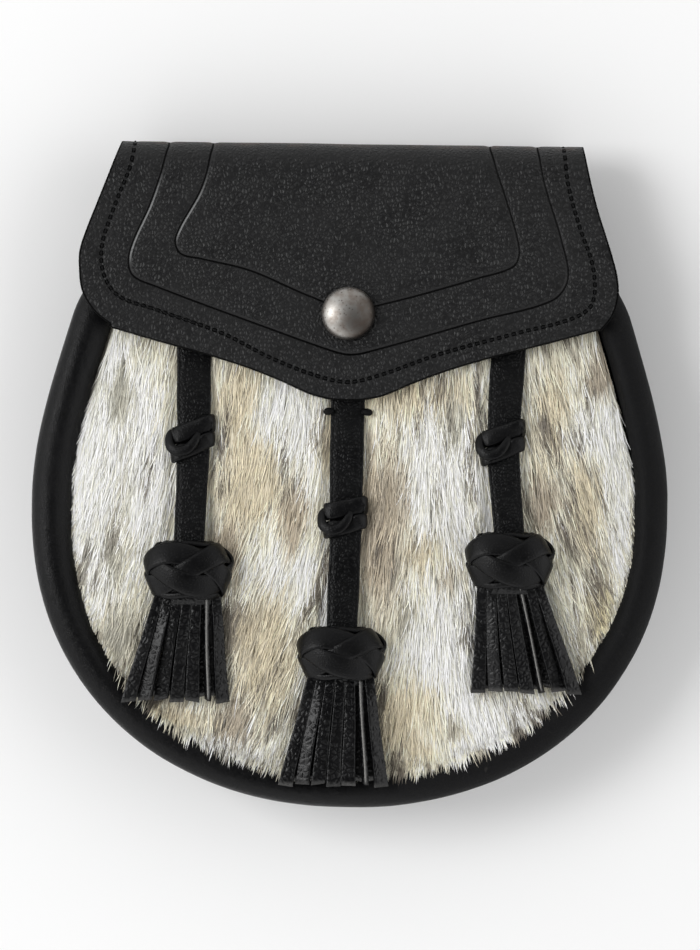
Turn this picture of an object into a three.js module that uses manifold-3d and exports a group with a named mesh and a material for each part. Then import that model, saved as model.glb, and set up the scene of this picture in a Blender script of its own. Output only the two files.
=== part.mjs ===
// A leather sporran pouch lying on its back: +X to the right of its front, +Y to the fold, +Z out of the front.
// Millimetres. The origin is on the ground, under the middle of the pouch.

import * as THREE from 'three';
import { mergeVertices } from 'three/addons/utils/BufferGeometryUtils.js';
import Module from 'manifold-3d';

const wasm = await Module();
wasm.setup();

// Outline of the pouch from the front: a full, rounded bottom and sides that lean in towards the fold.
const WIDTH = 190;
const TALL = 198.5;
const WIDEST_AT = 88;
const FULLNESS = 2.14;
const LEAN_FROM = 92;
const LEAN = 0.36;
const LEAN_EASE = 30;
const HALF_WIDTH = WIDTH / 2;
const BOTTOM = -TALL / 2;

// Walls and the clearance between neighbouring pieces.
const GAP = 0.3;
const BACK_THICK = 2.2;
const GUSSET_THICK = 1.8;
const HIDE_THICK = 2.2;
const FLAP_THICK = 3;
const STRAP_THICK = 2;

// Side view: the back rises off the ground towards the fold, and the front seam comes down to meet it.
const BACK_FLAT_TO = -86;
const BACK_RISE = 0.056;
const BACK_INSET = 2.6;
const BACK_TOP = 88;
const SEAM_LOW = 26;
const SEAM_HIGH = 19.3;
const SEAM_LOW_AT = -93;
const SEAM_HIGH_AT = 85;

// Padded rim round the front.
const RIM_HALF_WIDTH = 5.7;
const RIM_HALF_HEIGHT = 5.6;
const RIM_END_HALF_HEIGHT = 2.2;
const RIM_RAISED = 0.6;
const RIM_SLIMS_FROM = 30;
const RIM_SLIMS_OVER = 55;
const RIM_TOP = 82;

// Crown and locks of the hide.
const HIDE_TOP = 84;
const HIDE_RAISED = 0.8;
const HIDE_CROWN = 5.2;
const CROWN_POWER = 2.4;
const LOCK_HIGH = 1.8;
const LOCK_COLUMNS = 26;
const LOCK_ROWS = 22;
const LOCK_ROWS_LONG = 4;

// Flap: where its inner face turns round the fold, and how it slopes on the front and the back.
const FOLD_RADIUS = 6.3;
const FOLD_Y = TALL / 2 - FOLD_RADIUS - FLAP_THICK;
const FOLD_Z = 15.75;
const FRONT_SLOPE = Math.atan(0.1126);
const BACK_SLOPE = Math.atan(BACK_RISE);
const FLAP_BACK_LENGTH = 18;
const FLAP_COLUMNS = 18;
const FLAP_ROWS = { back: 1, fold: 8, front: 10 };
const TIP_X = -1;
const GROOVE_HALF_WIDTH = 0.65;
const GROOVE_DEEP = 0.7;

// Each side edge of the flap, seen from the front: height over the bottom of the pouch, and reach from its middle.
const FLAP_SIDES = [
  { height: 198.5, left: 69.6, right: 68.6 },
  { height: 190, left: 72.7, right: 70.3 },
  { height: 180, left: 76.5, right: 72.8 },
  { height: 171, left: 79.9, right: 75.7 },
  { height: 165, left: 81.6, right: 77.6 },
  { height: 159, left: 81.6, right: 79.1 },
  { height: 154, left: 80.9, right: 79.4 },
  { height: 150, left: 79.0, right: 78.6 },
  { height: 146.6, left: 76.2, right: 77.0 },
  { height: 143.6, left: 72.2, right: 74.4 },
];

// Lower edge of the flap: height at a distance from its tip.
const FLAP_EDGE = [
  { fromTip: 0, height: 121.6 },
  { fromTip: 5, height: 121.9 },
  { fromTip: 11, height: 123.3 },
  { fromTip: 20, height: 127.2 },
  { fromTip: 30, height: 131.0 },
  { fromTip: 42, height: 134.7 },
  { fromTip: 56, height: 138.4 },
  { fromTip: 74, height: 143.4 },
];

// The two tooled lines of the flap, from the fold down one side to the middle and up the other.
const GROOVES = {
  outer: [
    { x: -56.9, height: 196 },
    { x: -60.4, height: 180 },
    { x: -66.4, height: 165 },
    { x: -65.6, height: 158.4 },
    { x: -58.5, height: 155 },
    { x: -27.3, height: 143.8 },
    { x: -6.3, height: 136.6 },
    { x: -1, height: 135.4 },
    { x: 4.3, height: 136.1 },
    { x: 38.3, height: 146.1 },
    { x: 59.5, height: 152.3 },
    { x: 64, height: 158.6 },
    { x: 61.9, height: 170.2 },
    { x: 57.2, height: 185.1 },
    { x: 54.6, height: 196 },
  ],
  inner: [
    { x: -42, height: 196 },
    { x: -45.4, height: 184 },
    { x: -52.7, height: 169.6 },
    { x: -51.4, height: 165 },
    { x: -45.4, height: 163.5 },
    { x: -30.5, height: 160.1 },
    { x: -13, height: 152.8 },
    { x: -1, height: 149 },
    { x: 11, height: 151 },
    { x: 38.2, height: 158.9 },
    { x: 47.8, height: 162.3 },
    { x: 49.4, height: 167.1 },
    { x: 45.3, height: 182 },
    { x: 40.4, height: 196 },
  ],
};

// Stud that closes the flap.
const STUD_X = -1.1;
const STUD_Y = 48;
const STUD_RADIUS = 8;
const STUD_HIGH = 5;
const POST_RADIUS = 2;
const POST_HOLE_RADIUS = 2.5;
const POST_BASE_RADIUS = 5.5;
const POST_BASE_THICK = 1;

// The three straps and their tassels. Reaches are from the middle of the strap at the keeper.
const TASSELS = [
  {
    name: 'left',
    strapTop: { x: -47.1, y: 50, flapEdge: 36 },
    keeper: { x: -46.8, y: 10.3, reachLeft: 7.2, reachRight: 6.8, turn: 0.38 },
    head: { x: -47.7, y: -28.7, halfWidth: 13.2, halfTall: 8.4 },
    skirtEnd: { x: -51.0, y: -67.2, halfWidth: 16.3 },
  },
  {
    name: 'centre',
    strapTop: { x: -0.9, y: 36, flapEdge: 22 },
    keeper: { x: -1.1, y: -12.6, reachLeft: 6.7, reachRight: 6.3, turn: 0.21 },
    head: { x: -1.9, y: -52.9, halfWidth: 13.1, halfTall: 7.6 },
    skirtEnd: { x: -3.8, y: -92.6, halfWidth: 16.4 },
  },
  {
    name: 'right',
    strapTop: { x: 47.3, y: 50, flapEdge: 35 },
    keeper: { x: 45.6, y: 10.3, reachLeft: 8.6, reachRight: 6.2, turn: 0.34 },
    head: { x: 47.8, y: -24.7, halfWidth: 13.1, halfTall: 8.1 },
    skirtEnd: { x: 52.8, y: -62.7, halfWidth: 16.5 },
  },
];
const STRAP_TOP_HALF_WIDTH = 5.2;
const STRAP_END_HALF_WIDTH = 4.6;
const STRAP_LIFT = 2.2;
const HEAD_BACK_WALL = 3.4;
const HEAD_FRONT_WALL = 4.6;
const HEAD_HOLE_HALF_HEIGHT = 2.6;
const HEAD_HOLE_HALF_WIDTH = 8.4;
const SKIRT_STRIPS = { front: 7, behind: 6 };
const STRIP_THICK = 1.6;

// Belt loops on the back.
const LOOP_X = 36;
const LOOP_HALF_WIDTH = 11;
const LOOP_THICK = 1.8;
const LOOP_SECTION = [
  { y: 4, lifted: 1 },
  { y: 13, lifted: 1 },
  { y: 21, lifted: 0 },
  { y: 51, lifted: 0 },
  { y: 59, lifted: 1 },
  { y: 68, lifted: 1 },
];

const BLACK_LEATHER = { color: 0x1b1c1e, roughness: 0.55, metalness: 0 };
const RIM_LEATHER = { color: 0x18181a, roughness: 0.42, metalness: 0 };
const LACE_LEATHER = { color: 0x161617, roughness: 0.5, metalness: 0 };
const GOAT_HAIR = { color: 0xcfc4b0, roughness: 0.8, metalness: 0 };
const PEWTER = { color: 0x8d867e, roughness: 0.38, metalness: 0.9 };

const pouch = new THREE.Group();

// Adds a piece to the pouch under its own name and finish.
function addPiece(name, geometry, finish) {
  const mesh = new THREE.Mesh(geometry, new THREE.MeshStandardMaterial(finish));
  mesh.name = name;
  pouch.add(mesh);
  return mesh;
}

// Joins the shared corners of a geometry, so that it is one closed body.
function closed(geometry) {
  geometry.deleteAttribute('normal');
  geometry.deleteAttribute('uv');
  const merged = mergeVertices(geometry, 1e-4);
  merged.computeVertexNormals();
  return merged;
}

// Carries every corner of a geometry to the place that a function gives it.
function reshaped(geometry, place) {
  const position = geometry.getAttribute('position');
  const corner = new THREE.Vector3();
  for (let i = 0; i < position.count; i += 1) {
    corner.fromBufferAttribute(position, i);
    const moved = place(corner);
    position.setXYZ(i, moved.x, moved.y, moved.z);
  }
  return closed(geometry);
}

// A sheet of columns by rows. place gets the column, the row, and 1 on its outer face or 0 on its inner one.
function sheet(columns, rows, place) {
  return reshaped(new THREE.BoxGeometry(1, 1, 1, columns, rows, 1), (corner) => {
    const column = Math.round((corner.x + 0.5) * columns);
    const row = Math.round((corner.y + 0.5) * rows);
    return place(column, row, corner.z > 0 ? 1 : 0);
  });
}

// A rod of steps along its length. place gets the side, or -1 for the middle of an end, and the step.
function rod(sides, steps, place) {
  return reshaped(new THREE.CylinderGeometry(1, 1, 1, sides, steps), (corner) => {
    const turn = Math.atan2(corner.x, corner.z) / (2 * Math.PI);
    const side = Math.hypot(corner.x, corner.z) < 0.5 ? -1 : (Math.round(turn * sides) + sides) % sides;
    return place(side, Math.round((corner.y + 0.5) * steps));
  });
}

// A ring round the Y axis. place gets the angle round the ring and the angle round its section.
function ring(steps, sides, place) {
  const geometry = new THREE.TorusGeometry(2, 1, sides, steps).rotateX(Math.PI / 2);
  return reshaped(geometry, (corner) => {
    const around = Math.atan2(corner.z, corner.x);
    const section = Math.atan2(-corner.y, Math.hypot(corner.x, corner.z) - 2);
    return place(around, section);
  });
}

function toSolid(geometry) {
  return new wasm.Manifold(new wasm.Mesh({
    numProp: 3,
    vertProperties: Float32Array.from(geometry.getAttribute('position').array),
    triVerts: Uint32Array.from(geometry.index.array),
  }));
}

function toGeometry(solid) {
  const mesh = solid.getMesh();
  const geometry = new THREE.BufferGeometry();
  geometry.setAttribute('position', new THREE.BufferAttribute(mesh.vertProperties, mesh.numProp));
  geometry.setIndex(new THREE.BufferAttribute(mesh.triVerts, 1));
  geometry.computeVertexNormals();
  return geometry;
}

const { clamp, lerp, smoothstep } = THREE.MathUtils;

// A value from a short table, smooth between its rows. Rows run up or down in the column that is looked up.
function lookUp(table, from, to, value) {
  const rising = table[table.length - 1][from] > table[0][from];
  let row = table.findIndex((entry) => (rising ? entry[from] >= value : entry[from] <= value));
  row = clamp(row < 0 ? table.length - 1 : row, 1, table.length - 1);
  const before = table[row - 1];
  const after = table[row];
  const share = clamp((value - before[from]) / (after[from] - before[from]), 0, 1);
  const slopeAt = (index) => {
    const low = table[Math.max(index - 1, 0)];
    const high = table[Math.min(index + 1, table.length - 1)];
    return (high[to] - low[to]) / (high[from] - low[from]);
  };
  const span = after[from] - before[from];
  const square = share * share;
  const cube = square * share;
  return before[to] * (2 * cube - 3 * square + 1) + after[to] * (3 * square - 2 * cube)
    + span * slopeAt(row - 1) * (cube - 2 * square + share) + span * slopeAt(row) * (cube - square);
}

// Half the width of the pouch at a height over its bottom.
function halfWidthAt(height) {
  if (height <= WIDEST_AT) {
    const drop = (WIDEST_AT - height) / WIDEST_AT;
    return HALF_WIDTH * (1 - drop ** FULLNESS) ** (1 / FULLNESS);
  }
  const above = Math.max(0, height - LEAN_FROM);
  return HALF_WIDTH - LEAN * (Math.hypot(above, LEAN_EASE) - LEAN_EASE);
}

// The outline from the top left, round the bottom, to the top right, in even steps, set in from the edge.
function outline(topY, inset, steps) {
  const half = [];
  const sideRows = 24;
  for (let i = 0; i < sideRows; i += 1) {
    const height = lerp(topY - BOTTOM, WIDEST_AT, i / sideRows);
    half.push(new THREE.Vector2(-halfWidthAt(height), height + BOTTOM));
  }
  const bottomRows = 48;
  for (let i = 0; i < bottomRows; i += 1) {
    const angle = (Math.PI / 2) * (i / bottomRows);
    const height = WIDEST_AT * (1 - Math.sin(angle) ** (2 / FULLNESS));
    half.push(new THREE.Vector2(-halfWidthAt(height), height + BOTTOM));
  }
  const mirrored = half.map((point) => new THREE.Vector2(-point.x, point.y)).reverse();
  const curve = new THREE.SplineCurve([...half, new THREE.Vector2(0, BOTTOM), ...mirrored]);
  curve.arcLengthDivisions = 800;
  const stations = [];
  for (let i = 0; i <= steps; i += 1) {
    const point = curve.getPointAt(i / steps);
    const along = curve.getTangentAt(i / steps);
    const outward = new THREE.Vector2(along.y, -along.x);
    stations.push({ point: point.clone().addScaledVector(outward, -inset), outward });
  }
  return stations;
}

// Half the width of the outline once it is set in, found where a level line meets it.
function insetHalfWidth(y, stations) {
  const right = stations.slice(Math.floor(stations.length / 2));
  const upper = right.findIndex((station) => station.point.y >= y);
  if (upper <= 0) {
    return upper < 0 ? right[right.length - 1].point.x : right[0].point.x;
  }
  const low = right[upper - 1].point;
  const high = right[upper].point;
  return lerp(low.x, high.x, (y - low.y) / (high.y - low.y));
}

// Underside of the back panel.
function backFace(y) {
  return BACK_RISE * Math.max(0, y - BACK_FLAT_TO);
}

// Height of the seam where gusset, rim and hide meet.
function seam(y) {
  return lerp(SEAM_LOW, SEAM_HIGH, (y - SEAM_LOW_AT) / (SEAM_HIGH_AT - SEAM_LOW_AT));
}

// Half the height of the rim, which slims down under the flap.
function rimHalfHeight(y) {
  const slimmed = smoothstep(y, RIM_SLIMS_FROM, RIM_SLIMS_FROM + RIM_SLIMS_OVER);
  return lerp(RIM_HALF_HEIGHT, RIM_END_HALF_HEIGHT, slimmed);
}

// Middle line of a strap, which leans over to its keeper and on to its tassel.
function strapX(tassel, y) {
  const { strapTop, keeper, head } = tassel;
  if (y > keeper.y) {
    return lerp(keeper.x, strapTop.x, smoothstep(y, keeper.y, strapTop.y));
  }
  return lerp(head.x, keeper.x, smoothstep(y, head.y, keeper.y));
}

// How far a place on the hide lies from the straps and tassels that press its hair down, from 0 to 1.
function clearOfStraps(x, y) {
  let clear = 1;
  for (const tassel of TASSELS) {
    const inTassel = smoothstep(tassel.head.y + 18 - y, 0, 8);
    const below = smoothstep(tassel.skirtEnd.y - 4 - y, 0, 6);
    const pressed = lerp(11, 19, inTassel);
    const away = smoothstep(Math.abs(x - strapX(tassel, y)), pressed, pressed + 6);
    clear = Math.min(clear, Math.max(away, below));
  }
  return clear;
}

const HIDE_EDGE = outline(HIDE_TOP, 2 * RIM_HALF_WIDTH + 2.5 * GAP, 160);
const HIDE_BOTTOM = HIDE_EDGE[80].point.y + 0.9;

// Outer face of the hide, without the relief of its locks.
function hideFace(x, y) {
  const across = clamp(Math.abs(x) / insetHalfWidth(y, HIDE_EDGE), 0, 1);
  const along = smoothstep(HIDE_TOP - y, 0, HIDE_TOP) * smoothstep(y - HIDE_BOTTOM, -4, 46);
  return seam(y) + HIDE_RAISED + HIDE_CROWN * (1 - across ** CROWN_POWER) * along;
}

// Top of the rim over a place, or far below it where there is no rim.
function rimTop(x, y) {
  const inset = RIM_MIDDLE.reduce((nearest, station) => (
    Math.min(nearest, Math.hypot(station.point.x - x, station.point.y - y))
  ), Infinity);
  const share = inset / RIM_HALF_WIDTH;
  return share < 1 ? seam(y) + RIM_RAISED + rimHalfHeight(y) * Math.sqrt(1 - share * share) : 0;
}

const RIM_MIDDLE = outline(RIM_TOP, RIM_HALF_WIDTH, 160);

// Back panel: a level foot at the bottom, then a straight rise to the mouth.
function backPanel() {
  const footRows = 5;
  const rows = 18;
  const edge = outline(BACK_TOP, BACK_INSET, 160);
  const lowest = edge[80].point.y + 0.3;
  return sheet(2, rows, (column, row, outer) => {
    const inFoot = row <= footRows;
    const share = inFoot ? row / footRows : (row - footRows) / (rows - footRows);
    const y = inFoot ? lerp(lowest, BACK_FLAT_TO, share ** 1.8) : lerp(BACK_FLAT_TO, BACK_TOP, share ** 1.2);
    const x = (column - 1) * insetHalfWidth(y, edge);
    return new THREE.Vector3(x, y, backFace(y) + outer * BACK_THICK);
  });
}

// Gusset: a leather wall that stands on the back panel's edge and bows in between its seams.
function gusset() {
  const steps = 42;
  const stations = outline(RIM_TOP, 0, steps);
  const section = [
    { inset: 4.4, rise: 1 },
    { inset: 6.2, rise: 0.5 },
    { inset: 4.2, rise: 0 },
    { inset: 4.2 + GUSSET_THICK, rise: 0 },
    { inset: 6.2 + GUSSET_THICK, rise: 0.5 },
    { inset: 4.4 + GUSSET_THICK, rise: 1 },
  ];
  return rod(section.length, steps, (side, step) => {
    const { point, outward } = stations[step];
    const corner = side < 0 ? { inset: 5.3 + GUSSET_THICK / 2, rise: 0.5 } : section[side];
    const low = backFace(point.y) + BACK_THICK + 1.5 * GAP;
    const high = seam(point.y) + RIM_RAISED - rimHalfHeight(point.y) - 1.5 * GAP;
    const place = point.clone().addScaledVector(outward, -corner.inset);
    return new THREE.Vector3(place.x, place.y, lerp(low, high, corner.rise));
  });
}

// Rim: a padded roll of leather that follows the seam.
function frontRim() {
  const sides = 12;
  const steps = 42;
  const stations = outline(RIM_TOP, RIM_HALF_WIDTH, steps);
  return rod(sides, steps, (side, step) => {
    const { point, outward } = stations[step];
    const angle = (side / sides) * 2 * Math.PI;
    const reach = side < 0 ? 0 : 1;
    const place = point.clone().addScaledVector(outward, reach * RIM_HALF_WIDTH * Math.sin(angle));
    const rise = reach * rimHalfHeight(point.y) * Math.cos(angle);
    return new THREE.Vector3(place.x, place.y, seam(point.y) + RIM_RAISED + rise);
  });
}

// Relief of one corner of the hide: each lock rises along its length and drops to the root of the next one.
function lockRelief(column, row) {
  const stagger = Math.floor(column / 2) % 2 === 0 ? 0 : LOCK_ROWS_LONG / 2;
  const along = (row + stagger + Math.floor(column / 4)) % LOCK_ROWS_LONG;
  const ridge = column % 2 === 0 ? 0.35 : 1;
  return ridge * (1 - along / LOCK_ROWS_LONG);
}

// Hide: the crowned front wall, with its hair in locks that lie down the front.
function hideFront() {
  return sheet(LOCK_COLUMNS, LOCK_ROWS, (column, row, outer) => {
    const share = row / LOCK_ROWS;
    const y = lerp(HIDE_BOTTOM, HIDE_TOP, 0.45 * share + 0.55 * share * share);
    const across = (2 * column) / LOCK_COLUMNS - 1;
    const x = across * insetHalfWidth(y, HIDE_EDGE);
    const onEdge = row === 0 || row === LOCK_ROWS || Math.abs(across) === 1;
    const underFlap = smoothstep(y, 8, 26);
    const relief = onEdge ? 0 : LOCK_HIGH * lockRelief(column, row) * clearOfStraps(x, y) * (1 - underFlap);
    return new THREE.Vector3(x, y, hideFace(x, y) + (outer ? relief : -HIDE_THICK));
  });
}

// Length of the flap's inner face from the back round to the start of its front.
const FOLD_LENGTH = FOLD_RADIUS * (Math.PI - FRONT_SLOPE - BACK_SLOPE);

// A place on the flap: run is the length down the front from the fold, less than 0 round the fold and the back.
function onFlap(x, run, outward) {
  let angle = FRONT_SLOPE;
  let past = run;
  if (run < 0) {
    angle = Math.min(FRONT_SLOPE - run / FOLD_RADIUS, Math.PI - BACK_SLOPE);
    past = Math.min(run + FOLD_LENGTH, 0);
  }
  const reach = FOLD_RADIUS + outward;
  const y = FOLD_Y + reach * Math.sin(angle) - Math.abs(past) * Math.abs(Math.cos(angle));
  const z = FOLD_Z + reach * Math.cos(angle) + past * Math.sin(angle);
  return new THREE.Vector3(x, y, z);
}

// Run of the flap's outer face at a height over the bottom of the pouch.
function runAt(height) {
  const y = height + BOTTOM;
  return (FOLD_Y + (FOLD_RADIUS + FLAP_THICK) * Math.sin(FRONT_SLOPE) - y) / Math.cos(FRONT_SLOPE);
}

function flapSheet() {
  const { back, fold, front } = FLAP_ROWS;
  const rows = back + fold + front;
  const corner = FLAP_SIDES[FLAP_SIDES.length - 1];
  const foldHeight = FLAP_SIDES[0].height;
  return sheet(FLAP_COLUMNS, rows, (column, row, outer) => {
    const fromBack = rows - row;
    const across = (2 * column) / FLAP_COLUMNS - 1;
    const hand = across < 0 ? 'left' : 'right';
    let run = 0;
    if (fromBack <= back) {
      run = -FOLD_LENGTH - FLAP_BACK_LENGTH * (1 - fromBack / back);
    } else if (fromBack <= back + fold) {
      run = -FOLD_LENGTH * (1 - (fromBack - back) / fold);
    } else {
      const share = 1 - (1 - (fromBack - back - fold) / front) ** 1.5;
      const edge = lookUp(FLAP_EDGE, 'fromTip', 'height', Math.abs(across * corner[hand] - TIP_X));
      run = share * runAt(edge);
    }
    const atFront = run > -FOLD_LENGTH / 2;
    const height = atFront ? onFlap(0, run, FLAP_THICK).y - BOTTOM : foldHeight;
    const x = across * lookUp(FLAP_SIDES, 'height', hand, height);
    return onFlap(x, run, outer * FLAP_THICK);
  });
}

// Cutter for one tooled line: a diamond section that follows the outer face, over the fold and past the back edge.
function grooveCutter(table) {
  const route = table.map((point) => new THREE.Vector2(point.x, runAt(point.height)));
  const first = route[0];
  const last = route[route.length - 1];
  const front = new THREE.SplineCurve(route).getSpacedPoints(32);
  const foldSteps = 6;
  const rear = -FOLD_LENGTH;
  const behind = rear - FLAP_BACK_LENGTH - 2;
  const overFold = [];
  for (let i = 0; i <= foldSteps; i += 1) {
    overFold.push(lerp(rear, Math.min(first.y, last.y) - 1, i / foldSteps));
  }
  const start = [behind, ...overFold].map((run) => new THREE.Vector2(first.x, run));
  const end = [behind, ...overFold].map((run) => new THREE.Vector2(last.x, run)).reverse();
  const path = [...start, ...front, ...end];
  return rod(4, path.length - 1, (side, step) => {
    const here = path[step];
    const before = path[Math.max(step - 1, 0)];
    const after = path[Math.min(step + 1, path.length - 1)];
    const along = after.clone().sub(before).normalize();
    const aside = side < 0 ? 0 : Math.sin((side * Math.PI) / 2) * GROOVE_HALF_WIDTH;
    const out = side < 0 ? 0 : Math.cos((side * Math.PI) / 2) * GROOVE_DEEP;
    return onFlap(here.x - along.y * aside, here.y + along.x * aside, FLAP_THICK + out);
  });
}

// Places a turned piece on the flap at the stud, at a height over the flap's outer face.
function atStud(geometry, over) {
  const place = onFlap(STUD_X, runAt(STUD_Y - BOTTOM), FLAP_THICK + over);
  return geometry.rotateX(Math.PI / 2 - FRONT_SLOPE).translate(place.x, place.y, place.z);
}

function flap() {
  let solid = toSolid(flapSheet());
  for (const table of Object.values(GROOVES)) {
    solid = solid.subtract(toSolid(grooveCutter(table)));
  }
  const hole = new THREE.CylinderGeometry(POST_HOLE_RADIUS, POST_HOLE_RADIUS, 4 * FLAP_THICK, 16);
  return toGeometry(solid.subtract(toSolid(closed(atStud(hole, 0)))));
}

// Stud cap: a low dome with a rolled lower edge.
function studCap() {
  const profile = [new THREE.Vector2(0, 0), new THREE.Vector2(STUD_RADIUS - 0.7, 0)];
  const turns = 6;
  for (let i = 0; i < turns; i += 1) {
    const angle = (Math.PI / 2) * (i / turns);
    const rise = 0.7 + (STUD_HIGH - 0.7) * Math.sin(angle);
    profile.push(new THREE.Vector2(STUD_RADIUS * Math.cos(angle), rise));
  }
  profile.push(new THREE.Vector2(0, STUD_HIGH));
  return closed(atStud(new THREE.LatheGeometry(profile, 20), GAP));
}

// Stud post: a shaft through the flap on a flat base that lies on the hide.
function studPost() {
  const foot = -FLAP_THICK - GAP - POST_BASE_THICK;
  const profile = [
    new THREE.Vector2(0, foot),
    new THREE.Vector2(POST_BASE_RADIUS, foot),
    new THREE.Vector2(POST_BASE_RADIUS, foot + POST_BASE_THICK),
    new THREE.Vector2(POST_RADIUS, foot + POST_BASE_THICK),
    new THREE.Vector2(POST_RADIUS, 0),
    new THREE.Vector2(0, 0),
  ];
  return closed(atStud(new THREE.LatheGeometry(profile, 16), 0));
}

// Floor of the hole through a tassel's head.
function headHoleFloor(tassel) {
  return hideFace(tassel.head.x, tassel.head.y) + GAP + HEAD_BACK_WALL;
}

// Underside of a strap, which rides up over the back of its keeper and into its tassel's head.
function strapUnderside(tassel, y) {
  const x = strapX(tassel, y);
  const { flapEdge } = tassel.strapTop;
  const clearOfFlap = 1 - smoothstep(y, flapEdge - 16, flapEdge - 2);
  const intoHead = smoothstep(tassel.head.y + 24 - y, 0, 16);
  const lift = lerp(GAP + 0.1, STRAP_LIFT, clearOfFlap);
  return lerp(hideFace(x, y) + lift, headHoleFloor(tassel) + 2.2 * GAP, intoHead);
}

function strap(tassel) {
  const rows = 14;
  const end = tassel.head.y + 1;
  return sheet(2, rows, (column, row, outer) => {
    const y = lerp(end, tassel.strapTop.y, row / rows);
    const half = lerp(STRAP_END_HALF_WIDTH, STRAP_TOP_HALF_WIDTH, smoothstep(y, end, tassel.strapTop.y));
    const bow = column === 1 ? 0.25 * outer : 0;
    const x = strapX(tassel, y) + (column - 1) * half;
    return new THREE.Vector3(x, y, strapUnderside(tassel, y) + outer * STRAP_THICK + bow);
  });
}

// Keeper: a lace wound round the strap and knotted on its left edge.
function keeper(tassel) {
  const { x, y, reachLeft, reachRight, turn } = tassel.keeper;
  const innerHalfWidth = STRAP_TOP_HALF_WIDTH + GAP;
  const innerHalfHeight = STRAP_THICK / 2 + 1.5 * GAP + 0.3;
  const halfTall = 4.6;
  return ring(14, 6, (around, section) => {
    const cos = Math.cos(around);
    const sin = Math.sin(around);
    const round = (cos ** 4 + sin ** 4) ** 0.25;
    const outerX = cos < 0 ? reachLeft : reachRight;
    const wound = 0.5 + 0.5 * Math.cos(section);
    const knot = 1 + 0.35 * smoothstep(-cos, 0.3, 1) * smoothstep(-sin, -0.2, 1);
    const wallZ = sin < 0 ? 1.2 : 2.2;
    const px = x + (cos / round) * lerp(innerHalfWidth, outerX, wound);
    const py = y - Math.sin(section) * halfTall * knot + turn * (px - x);
    const middle = hideFace(strapX(tassel, py), py) + STRAP_LIFT + STRAP_THICK / 2;
    return new THREE.Vector3(px, py, middle + (sin / round) * (innerHalfHeight + wallZ * wound));
  });
}

// Tassel head: a woven knot round the strap's end, fuller in front than behind.
function tasselHead(tassel) {
  const { x, y, halfWidth, halfTall } = tassel.head;
  const middle = headHoleFloor(tassel) + HEAD_HOLE_HALF_HEIGHT;
  return ring(24, 8, (around, section) => {
    const cos = Math.cos(around);
    const sin = Math.sin(around);
    const wound = 0.5 + 0.5 * Math.cos(section);
    const weave = 0.94 + 0.06 * wound * Math.cos(6 * around + 2 * Math.sin(section));
    const wallZ = sin < 0 ? HEAD_BACK_WALL : HEAD_FRONT_WALL;
    const px = x + cos * lerp(HEAD_HOLE_HALF_WIDTH, halfWidth * weave, wound);
    const pz = middle + sin * (HEAD_HOLE_HALF_HEIGHT + wallZ * wound * (sin < 0 ? 1 : weave));
    return new THREE.Vector3(px, y - Math.sin(section) * halfTall, pz);
  });
}

// Height that the end of a strip has to clear, over the hide or the rim.
function groundUnder(x, y, halfWidth) {
  const overRim = [-1, 0, 1].flatMap((across) => [0, 4].map((back) => rimTop(x + across * halfWidth, y + back)));
  return Math.max(hideFace(x, y) + 1.1, Math.max(...overRim) + 0.6);
}

// One strip of a skirt, from its root to its tip.
function strip(root, tip, rootHalfWidth, tipHalfWidth, twist) {
  return sheet(1, 2, (column, row, outer) => {
    const down = 1 - row / 2;
    const half = lerp(rootHalfWidth, tipHalfWidth, down) * (2 * column - 1);
    const middle = root.clone().lerp(tip, down);
    const lean = twist * down * half;
    return new THREE.Vector3(middle.x + half, middle.y, middle.z + outer * STRIP_THICK + lean);
  });
}

// Tassel skirt: two rows of cut strips fused to a root that sits in the head.
function tasselSkirt(tassel) {
  const { head, skirtEnd } = tassel;
  const rootY = head.y - head.halfTall + 2;
  const headMiddle = headHoleFloor(tassel) + HEAD_HOLE_HALF_HEIGHT;
  const rootTop = head.y - 0.4;
  const root = new THREE.CylinderGeometry(1, 1, 1, 12);
  root.scale(HEAD_HOLE_HALF_WIDTH - 0.9, rootTop - rootY + 4, HEAD_HOLE_HALF_HEIGHT - 0.5);
  root.translate(head.x, (rootTop + rootY - 4) / 2, headMiddle);
  let solid = toSolid(closed(root));
  const layers = [
    { strips: SKIRT_STRIPS.front, over: 1.3 },
    { strips: SKIRT_STRIPS.behind, over: -0.6 },
  ];
  for (const { strips, over } of layers) {
    for (let i = 0; i < strips; i += 1) {
      const share = (2 * i) / (strips - 1) - 1;
      const spread = strips / SKIRT_STRIPS.front;
      const bulge = 1 - share * share;
      const rootHalf = (HEAD_HOLE_HALF_WIDTH - 0.9) / strips;
      const tipHalf = skirtEnd.halfWidth / SKIRT_STRIPS.front;
      const rootX = head.x + share * (HEAD_HOLE_HALF_WIDTH - 0.9 - rootHalf) * spread;
      const tipX = skirtEnd.x + share * (skirtEnd.halfWidth - tipHalf) * spread;
      const tipY = skirtEnd.y + (over < 0 ? 1.5 : 1.2 * (1 - bulge) * (i % 2)) + 0.5 * (i % 3);
      const ground = groundUnder(tipX, tipY, tipHalf);
      const tip = new THREE.Vector3(tipX, tipY, ground + (over > 0 ? 2.3 + 1.4 * bulge : 0.1));
      const start = new THREE.Vector3(rootX, rootY, headMiddle + over * (0.45 + 0.55 * bulge) - STRIP_THICK / 2);
      const twist = 0.16 * (((i * 5) % 3) - 1);
      solid = solid.add(toSolid(strip(start, tip, rootHalf * 0.96, tipHalf * 0.94, twist)));
    }
  }
  return toGeometry(solid);
}

// Belt loop: a leather strip sewn to the back at both ends, standing off it between them.
function beltLoop(x) {
  const rows = LOOP_SECTION.length - 1;
  return sheet(1, rows, (column, row, outer) => {
    const { y, lifted } = LOOP_SECTION[row];
    const under = lifted * (backFace(y) - GAP - LOOP_THICK);
    return new THREE.Vector3(x + (2 * column - 1) * LOOP_HALF_WIDTH, y, under + outer * LOOP_THICK);
  });
}

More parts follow.
